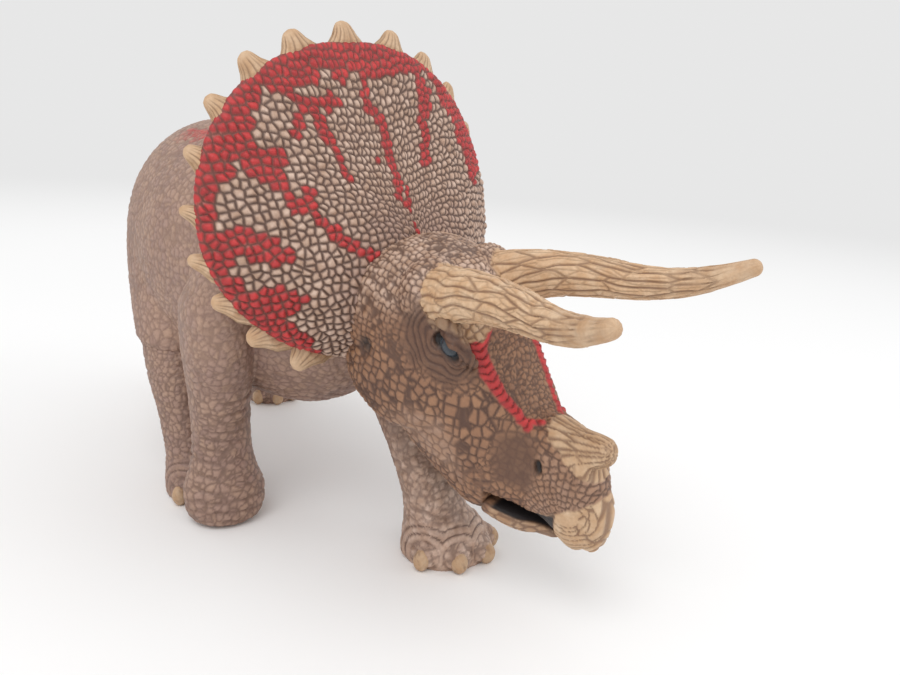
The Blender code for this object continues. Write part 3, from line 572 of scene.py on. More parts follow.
def mesh_of(name, forms):
    """One mesh that holds several closed forms."""
    points = []
    faces = []
    for form_points, form_faces in forms:
        offset = sum(len(part) for part in points)
        points.append(form_points)
        faces.extend([[corner + offset for corner in face] for face in form_faces])
    mesh = bpy.data.meshes.new(name)
    mesh.from_pydata(np.concatenate(points), [], faces)
    mesh.update()
    return mesh


def linked(name, mesh):
    """A new object in the scene."""
    piece = bpy.data.objects.new(name, mesh)
    bpy.context.scene.collection.objects.link(piece)
    return piece


def outwards(mesh):
    """Turns every closed form of the mesh face outwards."""
    shape = bmesh.new()
    shape.from_mesh(mesh)
    bmesh.ops.recalc_face_normals(shape, faces=shape.faces)
    shape.to_mesh(mesh)
    shape.free()
    return mesh


def fuse(name, forms, spacing, cutters=()):
    """One even closed skin round overlapping forms, less the cutters, meshed anew on a grid of cells."""
    rough = linked(name + "_rough", outwards(mesh_of(name + "_rough", forms)))
    spare = [rough]
    remesh = rough.modifiers.new("even_cells", "REMESH")
    remesh.mode = "VOXEL"
    remesh.voxel_size = spacing
    for number, cutter in enumerate(cutters):
        tool = linked(name + "_cutter_" + str(number), outwards(mesh_of(name + "_cutter", [cutter])))
        tool.hide_render = True
        spare.append(tool)
        cut = rough.modifiers.new("cut_" + str(number), "BOOLEAN")
        cut.operation = "DIFFERENCE"
        cut.solver = "EXACT"
        cut.object = tool
    if cutters:
        again = rough.modifiers.new("even_cells_again", "REMESH")
        again.mode = "VOXEL"
        again.voxel_size = spacing
    bpy.context.view_layer.update()
    graph = bpy.context.evaluated_depsgraph_get()
    mesh = bpy.data.meshes.new_from_object(rough.evaluated_get(graph))
    mesh.name = name
    for item in spare:
        bpy.data.objects.remove(item)
    return mesh


def read_points(mesh):
    """Places of the mesh's points, one row each."""
    points = np.empty(3 * len(mesh.vertices))
    mesh.vertices.foreach_get("co", points)
    return points.reshape(-1, 3)


def read_normals(mesh):
    """Outward ways at the mesh's points, one row each."""
    normals = np.empty(3 * len(mesh.vertices))
    mesh.vertex_normals.foreach_get("vector", normals)
    return normals.reshape(-1, 3)


def write_points(mesh, points):
    """Moves the mesh's points."""
    mesh.vertices.foreach_set("co", np.ascontiguousarray(points).ravel())
    mesh.update()


def relax(mesh, weights, rounds):
    """Moves each point towards the mean of its neighbours by its weight, for some rounds."""
    points = read_points(mesh)
    edges = np.empty(2 * len(mesh.edges), dtype=np.int64)
    mesh.edges.foreach_get("vertices", edges)
    here = np.concatenate((edges[::2], edges[1::2]))
    there = np.concatenate((edges[1::2], edges[::2]))
    count = np.maximum(np.bincount(here, minlength=len(points)), 1)
    for _ in range(rounds):
        sums = [np.bincount(here, weights=points[there, axis], minlength=len(points)) for axis in range(3)]
        step = np.stack(sums, axis=1) / count[:, None] - points
        points = points + np.broadcast_to(weights, len(points))[:, None] * step
    write_points(mesh, points)
    return points


MARKS = ("groove", "tone", "red", "tan", "dark", "shade", "pale")


def store(mesh, marks):
    """Keeps one number for each point and each mark, zero where none is given, for the paint to read."""
    for name in MARKS:
        values = np.zeros(len(mesh.vertices)) + marks.get(name, 0.0)
        mark = mesh.attributes.new(name, "FLOAT", "POINT")
        mark.data.foreach_set("value", np.clip(values, 0, 1).astype(np.float32))


def emboss(mesh, heights, **marks):
    """Raises each point along its normal by its height and keeps its marks."""
    write_points(mesh, read_points(mesh) + read_normals(mesh) * heights[:, None])
    store(mesh, marks)


def add_piece(name, mesh, material, nodes=(), body="figure"):
    """A finished piece that rides on its body, stands for CAD nodes and takes its finish from a slot."""
    mesh.shade_smooth()
    mesh.materials.clear()
    mesh.materials.append(material)
    piece = linked(name, mesh)
    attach(piece, body)
    if nodes:
        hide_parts(*nodes)
    return piece


# Shares and turns that the forms and their fine work are drawn from
FLATTEST_DOME_SHARE = 0.01
BODY_POWER = 2.1
SKULL_POWER = 2.4
FRILL_LOWER_SHARE = 0.77
FRILL_FLATNESS = 0.9
FRILL_ROOT_SHARE = 0.55
FRILL_HOLLOW_SHARE = 0.05
FRILL_BULGE_SHARE = 0.04
FRILL_EDGE_SHARE = 0.45
FRILL_EDGE_START_SHARE = 0.86
FRILL_SWELL_SHARE = 0.3
FRILL_START_SHARE = 0.12
FRILL_SPREAD = 0.03
FRILL_FLARE = 0.0014
FRILL_APEX = np.array((0.0, -0.0034, FRILL_RISE))
FRILL_FINE = 1.20
FRILL_GROWTH = 0.016
RIM_STEPS = 5
SPIKE_HEIGHT = 0.0046
SPIKE_SLIMMING = 0.40
SPIKE_WIDTH = 0.0082
SPIKE_THICKNESS = 0.0040
SPIKE_LEAN_SHARE = 0.80
SPIKE_ROOT = -0.75
SPIKE_ROWS = 34
SPIKE_SIDES = 60
SPIKE_GIRTH_SHARES = (
    (-0.75, 1.35), (0.0, 1.10), (0.15, 0.92), (0.45, 0.64), (0.80, 0.46), (0.94, 0.34), (1.0, 0.12),
)
SPIKE_DEPTH_SHARES = (
    (-0.75, 0.12), (-0.3, 0.22), (-0.05, 0.40), (0.2, 0.66), (0.5, 0.62), (0.85, 0.40), (1.0, 0.12),
)
TOE_RADIUS = 0.0032
TOE_HEIGHT_SHARE = 0.92
NAIL_REACH = (0.00175, 0.0019, 0.00235)
NAIL_HEIGHT = 0.0023
NAIL_FORWARD_SHARE = 0.72
CLEARANCE = 0.0003
TRUNK_PARTING = 0.010
RIDGE_LINE = ((-10, 5.0), (0, 3.0), (80, 0.0))
JAW_HEEL_RADIUS = 0.0034
JAW_HEEL_WIDTH = 0.0096
CHEEK_REACH = 0.0086
PIN_RADIUS = 0.0009
MOUTH_DROP = 0.020

# Red paint on the frill in millimetres of the head's frame: inner edge of the band along the rim, then half
# widths and middles of the lines, and those of spots left unpainted
BAND_EDGE = (
    (-20.0, 7.0, -17.0), (-28.5, 11.0, -9.0), (-31.6, 13.4, -3.8), (-32.8, 14.9, -0.1), (-33.4, 16.0, 1.2),
    (-34.2, 19.3, 8.1), (-33.6, 20.2, 10.0), (-32.8, 22.0, 14.8), (-28.7, 22.0, 18.9), (-25.0, 24.1, 24.0),
    (-22.3, 25.6, 27.2), (-16.7, 24.7, 28.3), (-11.3, 24.4, 28.9), (-5.0, 24.9, 30.2), (-0.6, 25.2, 30.8),
    (2.8, 25.4, 31.1), (7.8, 25.3, 30.6), (15.4, 27.3, 31.6), (21.8, 27.0, 28.9), (23.3, 22.6, 23.2),
    (24.5, 18.6, 16.9), (25.0, 13.5, 9.0),
)
RED_LINES = (
    (1.5, ((-30.9, 25.3, 21.1), (-26.6, 21.3, 19.7), (-22.0, 18.9, 18.6))),
    (1.7, ((-28.7, 22.0, 18.9), (-26.5, 19.4, 16.8), (-23.6, 17.1, 15.3), (-23.1, 15.0, 12.8))),
    (1.7, ((-23.1, 15.0, 12.8), (-20.6, 12.5, 11.0))),
    (1.1, ((-20.6, 12.5, 11.0), (-17.9, 8.1, 7.3), (-16.2, 5.1, 5.1), (-14.1, 2.1, 3.6), (-12.3, -1.1, 2.3))),
    (0.9, ((-19.3, 14.3, 14.0), (-19.2, 14.2, 13.9))),
    (0.9, ((-23.2, 14.0, 11.2), (-23.9, 13.0, 9.3))),
    (1.6, ((-16.7, 24.7, 28.3), (-15.7, 23.4, 26.7), (-12.2, 22.9, 26.6), (-7.8, 22.8, 27.1))),
    (1.1, ((-16.2, 22.5, 25.4), (-17.8, 20.3, 21.9))),
    (1.6, ((-12.3, 22.7, 26.3), (-13.0, 20.1, 22.8), (-12.1, 18.6, 21.2))),
    (1.1, ((-12.1, 18.6, 21.2), (-11.1, 17.1, 19.6), (-11.1, 15.0, 17.4), (-10.6, 13.2, 15.7))),
    (1.7, ((1.0, 25.6, 31.4), (0.0, 22.1, 26.3), (1.7, 20.1, 23.9), (1.7, 17.5, 20.9))),
    (1.2, ((1.7, 17.5, 20.9), (0.9, 14.2, 17.7), (0.8, 11.2, 15.3), (-1.3, 8.6, 13.4))),
    (0.9, ((-2.2, 15.1, 18.6), (-2.1, 15.0, 18.5))),
    (1.0, ((2.3, 9.5, 14.0), (0.4, 6.6, 12.2))),
    (0.8, ((-0.6, 3.5, 10.5), (0.7, 1.7, 9.7))),
    (2.3, ((17.5, 25.5, 29.5), (16.7, 23.1, 26.1), (14.1, 20.4, 23.0))),
    (1.6, ((14.1, 20.4, 23.0), (13.3, 17.7, 19.9), (10.5, 13.9, 16.5))),
    (2.8, ((-35.5, 20.0, 4.8), (-31.0, 16.4, 5.5), (-28.0, 13.0, 4.0))),
    (1.8, ((-28.0, 13.0, 4.0), (-25.2, 10.5, 3.4))),
    (2.6, ((-33.0, 14.8, -4.6), (-29.0, 11.0, -4.6), (-25.8, 8.2, -5.0))),
    (2.2, ((-30.0, 12.0, -8.0), (-25.8, 8.5, -11.5), (-22.6, 8.2, -15.5), (-19.5, 8.0, -19.0))),
)
PLAIN_SPOTS = (
    (3.0, ((-20.8, 24.3, 26.4), (-21.4, 21.0, 22.0))),
    (1.7, ((-8.6, 25.2, 30.4), (-7.8, 25.2, 30.2))),
    (2.2, ((-30.6, 18.9, 13.0), (-30.9, 18.4, 11.6))),
    (1.9, ((-29.6, 16.7, 9.8), (-25.0, 13.4, 9.2))),
    (1.6, ((-29.5, 12.5, -0.2), (-26.5, 10.4, 0.2))),
)

# Features of the face in millimetres of the head's frame, on its left half: across, along and up, and
# outlines in its side view, along and up
FACE_STRIPE = (
    (7.6, -19.7, -3.5), (7.4, -21.9, -6.1), (7.4, -24.0, -8.5), (6.9, -26.0, -10.4), (6.1, -28.5, -12.4),
    (5.3, -30.5, -14.0), (5.1, -33.2, -15.6),
)
STRIPE_BRANCHES = (((6.4, -21.4, -4.6), (4.3, -20.1, -2.7)), ((5.1, -32.0, -15.0), (2.7, -34.7, -14.8)))
EYE_LINE = ((12.2, -16.2, -4.0), (12.4, -19.6, -5.3))
EYE_SLIT = ((12.4, -18.6, -5.0), (11.7, -20.8, -5.9), (11.3, -22.2, -6.3))
LID_CREASE = (
    (12.1, -13.9, -2.5), (12.8, -16.4, -1.9), (12.9, -18.9, -1.9), (12.5, -21.0, -3.2), (11.6, -22.3, -4.7),
)
NOSTRIL = ((7.0, -38.1, -19.8), (7.1, -38.7, -21.0))
NOSTRIL_PATCH = (
    (-29.8, -17.4), (-33.0, -16.6), (-36.6, -18.4), (-37.9, -21.0), (-38.2, -24.0), (-37.6, -26.2),
    (-32.2, -26.4), (-30.5, -20.6),
)
JOWL_PATCH = (
    (-14.0, -19.0), (-19.0, -18.6), (-21.8, -20.6), (-24.2, -24.0), (-25.4, -31.0), (-20.9, -29.2),
    (-13.5, -26.2), (-8.0, -23.5),
)
EAR_PIT = (15.5, -1.2, -11.5)
MOUTH_CORNER = ((-30.5, -29.8), (-31.5, -30.0))
MOUTH_SEAMS = (
    ((12.1, -22.3, -25.5), (11.5, -23.6, -28.4), (10.4, -24.8, -31.5)),
    ((11.6, -27.2, -23.7), (11.5, -26.6, -26.4)),
)
LIP_CENTRE = (-45.5, -31.5)
BEAK_CENTRE = (-45.2, -27.6)
NOSE_EDGE = (
    (-47.2, -20.1), (-46.2, -20.0), (-44.8, -19.4), (-43.2, -18.9),
    (-38.6, -16.1), (-36.4, -14.7), (-34.7, -13.8),
)
BEAK_EDGE = (
    (-48.9, -22.9), (-48.2, -23.9), (-47.4, -24.4), (-46.0, -25.5),
    (-43.7, -27.5), (-42.4, -28.6), (-41.0, -29.8),
)
BRIDGE_EDGE = ((-34.0, 4.5), (-26.0, 6.3), (-20.0, 8.5), (-12.0, 5.0))
STRIPE_HALF_WIDTHS = ((0.0, 2.1), (3.0, 1.7), (8.0, 1.4), (17.0, 1.0))
STRIPE_STEP = 1.45
NOSE_HORN_ROWS = (
    (-35.5, -19.0, 5.0), (-39.0, -18.5, 4.7), (-42.5, -17.0, 3.6), (-45.0, -15.6, 2.8), (-46.4, -14.9, 2.3),
)
BROW_ROWS = (
    (8.5, -13.5, 1.5, 2.6), (11.2, -16.5, -1.2, 1.9), (12.1, -19.8, -3.4, 1.35), (10.4, -22.8, -6.2, 0.8),
)
LID_SHIFT = (-1.0, 0.0, -0.6)
LID_REACH = (1.8, 4.0, 3.0)

# Bark round a brow horn's root: radii along the collar, and how far it reaches at each turn, in millimetres
COLLAR_ROWS = ((-3.6, 6.4), (-1.6, 6.9), (-0.2, 6.9), (0.9, 6.5), (1.5, 5.9))
COLLAR_REACHES = (
    (-180, 6.0), (-90, 5.4), (-19, 5.0), (34, 5.2), (54, 6.0), (75, 7.2), (93, 8.6), (121, 9.3), (132, 9.2),
    (160, 7.2), (180, 6.0),
)
HORN_PLUG = 0.0025
HORN_DOME_STEPS = 9
EYE_REACH = (0.0023, 0.0020, 0.0017)
EYE_SUNK = 0.0011

# Sizes of scales and pitches of folds in millimetres
CHEEK_CELL = 1.85
CROWN_CELL = 1.25
SNOUT_CELL = 1.4
BRIDGE_CELL = 1.1
LIP_CELL = 1.2
LIP_SCALES_ROUND = 56
EYE_FOLD_PITCH = 1.2
LIP_FOLD_PITCH = 1.5
TOE_FOLD_PITCH = 1.5
LEG_FOLD_PITCH = 2.6
BODY_CELL = 1.65
SHANK_CELL = 1.4
TAIL_CELL = 1.5


def mirrored(points, side):
    """Places on the animal's left, or their mirror images on its right."""
    return np.array(points) * np.array((side, 1.0, 1.0))


def in_head(points):
    """Places of the head's frame in the figure's frame."""
    return HEAD_PLACE + points @ HEAD_AXES.T


def frill_rim(turn):
    """Rim of the frill: an oval that leans back and curls back at both sides."""
    rise = FRILL_HEIGHT / 2 * np.cos(turn)
    rise = np.where(rise < 0, rise * FRILL_LOWER_SHARE, rise)
    across = FRILL_WIDTH / 2 * bent(np.sin(turn), FRILL_FLATNESS)
    along = FRILL_SETBACK + rise * math.sin(FRILL_LEAN) + FRILL_CURL * np.sin(turn) ** 2
    return np.stack((across, along, FRILL_RISE + rise * math.cos(FRILL_LEAN)), axis=-1)


def frill_middle(out, turn):
    """Middle of the frill: straight from its root in the skull to its rim, bowed back or forward between."""
    row = SKULL_SHARES[1]
    centre = np.array((0.0, SKULL_REAR - row[0] * SKULL_LENGTH, row[1] * SKULL_DEPTH))
    wide = row[2] * SKULL_WIDTH * np.sin(turn)
    high = row[3] * SKULL_DEPTH * np.cos(turn)
    inner = centre + FRILL_ROOT_SHARE * np.stack((wide, 0 * turn, high), axis=-1)
    rim = frill_rim(turn)
    bend = FRILL_HOLLOW_SHARE * np.cos(turn) ** 2 - FRILL_BULGE_SHARE * np.sin(turn) ** 2
    reach = np.linalg.norm(rim - inner, axis=-1)
    points = inner + out[..., None] * (rim - inner)
    points[..., 1] += 4 * out * (1 - out) * bend * reach
    return points


def frill_frame(out, turn):
    """Places on the frill's middle with the direction out of its front and the direction outwards."""
    nudge = 0.001
    around = frill_middle(out, turn + nudge) - frill_middle(out, turn - nudge)
    outward = unit(frill_middle(out + nudge, turn) - frill_middle(out - nudge, turn))
    return frill_middle(out, turn), unit(np.cross(around, outward)), outward


def frill_half(out):
    """Half thickness of the frill: thicker at the skull and thinner at the rim."""
    near_rim = np.clip((out - FRILL_EDGE_START_SHARE) / (1 - FRILL_EDGE_START_SHARE), 0, 1)
    edge = 1 - (1 - FRILL_EDGE_SHARE) * near_rim
    return FRILL_THICKNESS / 2 * (1 + FRILL_SWELL_SHARE * (1 - out)) * edge


def frill_form(columns, front_rows, back_rows):
    """Rings of the frill from its root over the front, round the rim and back, and how far out each lies."""
    turn = full_turn(columns)[None, :]
    limit = 1 + FRILL_SPREAD * np.sin(turn) ** 2
    spread = limit - FRILL_START_SHARE
    out = FRILL_START_SHARE + spread * np.linspace(0, 1, front_rows)[:, None]
    place, normal, _ = frill_frame(out, turn + 0 * out)
    lower = 0.5 - 0.5 * np.cos(turn)
    thick = frill_half(out) + FRILL_FLARE * (1 - out) ** 3 * (1 - 0.4 * lower)
    front = place + normal * thick[..., None]
    behind = FRILL_START_SHARE + spread * np.linspace(1, 0, back_rows)[:, None]
    place, normal, _ = frill_frame(behind, turn + 0 * behind)
    back = place - normal * frill_half(behind)[..., None]
    roll = np.linspace(0, math.pi, RIM_STEPS + 2)[1:-1, None] + 0 * turn
    rim_out = np.ones_like(roll) * limit
    place, normal, outward = frill_frame(rim_out, turn + 0 * roll)
    round_rim = normal * np.cos(roll)[..., None] + outward * np.sin(roll)[..., None]
    rim = place + float(frill_half(np.array(1.0))) * round_rim
    return np.concatenate((front, rim, back)), np.concatenate((out, rim_out, behind)) / limit


def unrolled(turn):
    """Turn round the frill's axis after the frill is unrolled like a cone, steeper at its top."""
    return 0.865 * turn - 0.10 * np.sin(turn) + 0.0125 * np.sin(2 * turn)


def frill_lattice(points):
    """Flat places on the unrolled frill, in cells that grow with the distance from its apex."""
    off = (points - FRILL_APEX) / MM
    grown = np.log(1 + FRILL_GROWTH * np.linalg.norm(off, axis=1) / FRILL_FINE) / FRILL_GROWTH
    turn = unrolled(np.arctan2(off[:, 0], off[:, 2]))
    return np.stack((grown * np.sin(turn), grown * np.cos(turn), 0 * grown), axis=1)


def from_apex(lattice):
    """Turn and distance of flat places round the frill's apex."""
    return np.arctan2(lattice[:, 0], lattice[:, 1]), np.hypot(lattice[:, 0], lattice[:, 1])


def frill_red(seeds):
    """Where the frill's scales are painted red: a ragged band along the rim, and lines inwards from it."""
    turn, reach = from_apex(seeds)
    beyond = float(reach.max()) + 1
    edge = np.interp(turn, *from_apex(frill_lattice(np.array(BAND_EDGE) * MM)), left=beyond, right=beyond)
    red = reach > edge + wobble(seeds, 1.4, 42, 1.2)
    cell = FRILL_FINE * np.exp(FRILL_GROWTH * reach)
    uneven = 0.8 + 0.5 * noise(seeds / 1.5, 43)
    for painted, lines in ((True, RED_LINES), (False, PLAIN_SPOTS)):
        for half, line in lines:
            gap, _ = line_distance(seeds, frill_lattice(np.array(line) * MM))
            red = np.where(gap * cell < half * uneven, painted, red)
    return red.astype(float)


class TOY_OT_frill(bpy.types.Operator):
    """Builds the frill: a leaning curled shield with domed scales in growing cells and red paint"""

    bl_idname = "toy.frill"
    bl_label = "Frill"

    def execute(self, context):
        columns, front_rows, back_rows = ((1000, 150, 26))
        rings, out = frill_form(columns, front_rows, back_rows)
        mesh = outwards(mesh_of("frill", [closed_grid(rings, rings[0].mean(axis=0), rings[-1].mean(axis=0))]))
        points = read_points(mesh)
        out = np.concatenate((out.ravel(), (FRILL_START_SHARE, FRILL_START_SHARE)))
        row = np.concatenate((np.repeat(np.arange(len(rings)), columns), (0, len(rings) - 1)))
        front = row < front_rows + RIM_STEPS - 2
        lattice = frill_lattice(points)
        height, groove, tone, seed = pebbles(lattice, 11, 0.66, True, 0.46, 0.15, 0.75)
        behind, behind_groove, behind_tone, _ = pebbles(lattice + 60, 12, flat=True)
        red = frill_red(seed) * front
        scale = sizes().frill_scale * (0.75 + 0.45 * tone) * (1 + 0.25 * red)
        relief = np.where(front, height * scale, behind * sizes().body_scale) - 0.5 * sizes().frill_scale
        swell = 0.9 * MM * (rough_noise(points / MM / 9, 14) - 0.5) * front
        emboss(
            mesh, (relief + swell) * (1 - 0.75 * ramp(out, 0.975, 1.0)),
            groove=np.where(front, groove, behind_groove),
            tone=np.where(front, tone, behind_tone), red=red * (0.35 + 0.65 * ramp(height, 0.05, 0.5)),
            pale=front * ramp(out, 0.10, 0.45) * (0.25 + 0.75 * height),
        )
        material = skin_material("frill_paint")
        halves = part_mesh(mesh, Vector((0, 0, 0)), Vector(ASIDE))
        for name, half in zip(("right_frill_skin", "left_frill_skin"), halves):
            add_to_head(name, half, material)
        return {"FINISHED"}


def spike_form(number):
    """One blunt spike, its grooves, and how far along it each point lies.

    Ovals shrink along its length to a rounded tip, and flutes wave round their edges and fade to the tip.
    """
    turn = np.array(FRILL_SPAN * number / SPIKES_PER_SIDE)
    to_side = math.sin(turn) ** 2
    rim, _, sloping = frill_frame(np.array(1.0), turn)
    level = unit(rim - np.array((0.0, FRILL_SETBACK, FRILL_RISE)))
    outward = unit(level * (1 - SPIKE_LEAN_SHARE * to_side) + sloping * SPIKE_LEAN_SHARE * to_side)
    sideways = unit(np.cross(outward, (0.0, -math.cos(FRILL_LEAN), math.sin(FRILL_LEAN))))
    normal = np.cross(sideways, outward)
    rim = rim - normal * (0.4 + 0.6 * to_side) * MM
    drawn = scatter(np.array([[number, 3, 5]]), 71)[0]
    along = np.linspace(SPIKE_ROOT, 1.0, SPIKE_ROWS)
    edge = full_turn(SPIKE_SIDES)
    waves = 0.05 * np.cos(edge * 15 + 9 * drawn[0]) + 0.04 * np.cos(edge * 26 + 5 * drawn[1])
    flutes = 1 + waves[None, :] * ramp(1 - along, 0.0, 0.5)[:, None]
    width = SPIKE_WIDTH * (0.92 + 0.16 * drawn[1]) * (1 - SPIKE_SLIMMING * to_side**2)
    wide = (np.interp(along, *np.array(SPIKE_GIRTH_SHARES).T) * width / 2)[:, None] * flutes
    deep = (np.interp(along, *np.array(SPIKE_DEPTH_SHARES).T) * SPIKE_THICKNESS / 2)[:, None] * flutes
    reach = SPIKE_HEIGHT * (0.93 + 0.12 * drawn[2])
    bow = (drawn[0] - 0.5) * 0.5 * MM
    middles = rim + outward * (along * reach)[:, None] + sideways * (bow * np.clip(along, 0, 1) ** 2)[:, None]
    rings = middles[:, None] + wide[..., None] * np.cos(edge)[None, :, None] * sideways
    rings = rings + deep[..., None] * np.sin(edge)[None, :, None] * normal
    form = closed_grid(rings, rim + outward * SPIKE_ROOT * reach, middles[-1] + outward * 0.02 * reach)
    grooves = np.concatenate((ramp(-flutes, -1.0, -0.93).ravel(), (0.0, 0.0)))
    return form, grooves, np.concatenate((np.repeat(along, SPIKE_SIDES), (SPIKE_ROOT, 1.0)))


class TOY_OT_spikes(bpy.types.Operator):
    """Builds the blunt fluted spikes round the frill's rim"""

    bl_idname = "toy.spikes"
    bl_label = "Frill spikes"

    def execute(self, context):
        numbers = range(-SPIKES_PER_SIDE, SPIKES_PER_SIDE + 1)
        forms, grooves, along = zip(*[spike_form(number) for number in numbers])
        mesh = outwards(mesh_of("frill_spikes", forms))
        tone = 0.35 + 0.5 * np.concatenate(along)
        store(mesh, {"groove": 0.75 * np.concatenate(grooves), "tone": tone, "tan": 1.0, "shade": 0.16})
        add_to_head("frill_spikes", mesh, skin_material("spike_paint"))
        return {"FINISHED"}


def hinge_arc(radius, start, end):
    """Places on an arc round the jaw's hinge, in the head's middle plane, angles from backward towards up."""
    turn = np.linspace(start, end, 17)
    return [(JAW_HINGE[1] + radius * math.cos(t), JAW_HINGE[2] + radius * math.sin(t)) for t in turn]


def prism(outline, half_width):
    """Closed prism of an outline in the head's middle plane."""
    rings = np.array([[(side * half_width, along, height) for along, height in outline] for side in (1, -1)])
    count = len(outline)
    side = np.arange(count)
    following = (side + 1) % count
    quads = np.stack((side, following, following + count, side + count), axis=1).tolist()
    return rings.reshape(-1, 3), quads + [list(range(count))[::-1], list(range(count, 2 * count))]


def mouth_form():
    """Room under the upper lip, open below and in front of the cheeks."""
    lip = [(along * SKULL_LENGTH, height * SKULL_DEPTH) for along, height in MOUTH_LINE_SHARES]
    floor = JAW_HINGE[2] - MOUTH_DROP
    cheek = hinge_arc(CHEEK_REACH, 1.5 * math.pi, math.pi)
    return prism(cheek + lip + [(lip[-1][0], floor), (cheek[0][0], floor)], SKULL_WIDTH)


def jaw_slot_form():
    """Slot between the cheeks that the jaw's root swings in."""
    radius = JAW_HEEL_RADIUS + CLEARANCE
    roof = MOUTH_LINE_SHARES[0][1] * SKULL_DEPTH
    floor = JAW_HINGE[2] - MOUTH_DROP
    front = JAW_HINGE[1] - CHEEK_REACH - CLEARANCE
    heel = [(JAW_HINGE[1] + radius, floor)] + hinge_arc(radius, 0.0, math.pi / 2)
    return prism(heel + [(front, roof), (front, floor)], JAW_HEEL_WIDTH / 2 + CLEARANCE)


def horn_path(side, steps):
    """Places and radii along a brow horn: a cubic curve with two bends, and a cubic through its girths."""
    reach = np.array((HORN_SPREAD, -HORN_LENGTH, HORN_RISE))
    first, second = (HORN_ROOT + np.array(shares) * reach for shares in HORN_BEND_SHARES)
    t = np.linspace(0, 1, steps)[:, None]
    points = HORN_ROOT * (1 - t) ** 3 + first * 3 * t * (1 - t) ** 2 + second * 3 * t**2 * (1 - t)
    points = points + (HORN_ROOT + reach) * t**3
    points[:, 0] *= side
    places, girths = np.array(HORN_GIRTH_SHARES).T
    return points, HORN_BASE_RADIUS * np.polyval(np.polyfit(places, girths, 3), t[:, 0])


def mirrored(point, side):
    return np.array(point) * np.array((side, 1.0, 1.0))


def face_forms():
    """Skull, jowls, collars of the brow horns, nose horn, brows and eyelids."""
    skull = head_section(np.array((0.0, SKULL_REAR, 0.0)), *SKULL_SIZES)
    along, height, radii = smooth_rows(NOSE_HORN_ROWS, 5).T * MM
    forms = [
        loft(SKULL_SHARES, skull, SKULL_POWER, (0.4, 0.9), 96),
        sweep(np.stack((0 * along, along, height), axis=1), radii, 48, 0.7),
    ]
    horn, _ = horn_path(1, 12)
    places, collar_radii = np.array(COLLAR_ROWS).T * MM
    collar = horn[0] + unit(horn[1] - horn[0]) * places[:, None]
    brow = np.array(BROW_ROWS) * MM
    lid = EYE_PLACE + np.array(LID_SHIFT) * MM
    for side in (-1, 1):
        forms.append(sweep(mirrored(collar, side), collar_radii, 48, 0.2))
        forms.append(sweep(mirrored(brow[:, :3], side), brow[:, 3], 24, 1.0, 1.0))
        forms.append(ellipsoid(mirrored(lid, side), np.diag(LID_REACH) * MM))
        forms.append(ellipsoid(mirrored(JOWL_PLACE, side), np.diag(JOWL_REACH)))
    return forms


def folded_over(points):
    """Places with the right half of the face laid on the left half."""
    return points * np.where(points[:, :1] < 0, (-1.0, 1.0, 1.0), (1.0, 1.0, 1.0))


def fan(points, centre, spacing, count, salt):
    """Scales in rows round a place in the side view: so many to the turn, and so far apart."""
    off = points[:, 1:] - np.array(centre)
    reach = np.linalg.norm(off, axis=1)
    turn = np.arctan2(off[:, 1], off[:, 0]) / (2 * math.pi) * count + count
    return pebbles(np.stack((reach / spacing, turn, 0 * turn), axis=1), salt, 0.5, True, 0.42, 0.11)


def horn_collar(folded):
    """Share of bark round a brow horn's root, which reaches further from the axis on its under side."""
    horn, _ = horn_path(1, 12)
    ahead = unit(horn[1] - horn[0])
    down = unit(ahead[2] * ahead - UP)
    off = folded - HORN_ROOT / MM
    sideways = off @ np.cross(ahead, down)
    turn = np.degrees(np.arctan2(off @ down, sideways))
    reach = np.interp(turn, *np.array(COLLAR_REACHES).T) + wobble(folded, 1.3, 30, 1.3)
    return ramp(reach - np.hypot(off @ down, sideways), -0.25, 0.25) * ramp(off @ ahead, -1.0, 0.6)


def face_scales(points, shift, from_eye):
    """Scales of the face: broad on the cheek, finer on snout, crown and bridge, and in rows round the lip."""
    places = points + shift
    height, groove, tone, seed = pebbles(places / CHEEK_CELL, 21, 0.62)
    beside, along, up = folded_over(seed * CHEEK_CELL - shift).T
    snout = (along < -29.0) | (from_eye < 8.0)
    crown = ((up > -3.0) & (along > -15.0)) | ((up > -11.0) & (along > -11.5))
    lip = (along < -37.0) & (up < -19.0) & (beside > 1.5)
    bridge = (up > -15.5) & (along < -12.0) & (beside < 10.8 + 0.12 * along)
    bridge &= beside < np.interp(along, *np.array(BRIDGE_EDGE).T)
    kinds = (
        (snout, 0.85, pebbles(places / SNOUT_CELL, 22, 0.65)),
        (crown, 1.05, pebbles(places / CROWN_CELL, 36, 0.5, dome=0.44, roundness=0.3)),
        (lip, 0.85, fan(points + 0.5 * shift, LIP_CENTRE, LIP_CELL, LIP_SCALES_ROUND, 33)),
        (bridge, 0.85, pebbles(places / BRIDGE_CELL, 24, dome=0.44)),
    )
    for chosen, strength, scales in kinds:
        height = np.where(chosen, scales[0] * strength, height)
        groove = np.where(chosen, scales[1] * 0.9, groove)
        tone = np.where(chosen, scales[2], tone)
    return height, groove, tone


def ripple(apart, start, pitch):
    """Rise and fall of folds, so far apart: half plus half a cosine of the distance."""
    return 0.5 + 0.5 * np.cos(2 * math.pi * (apart - start) / pitch)


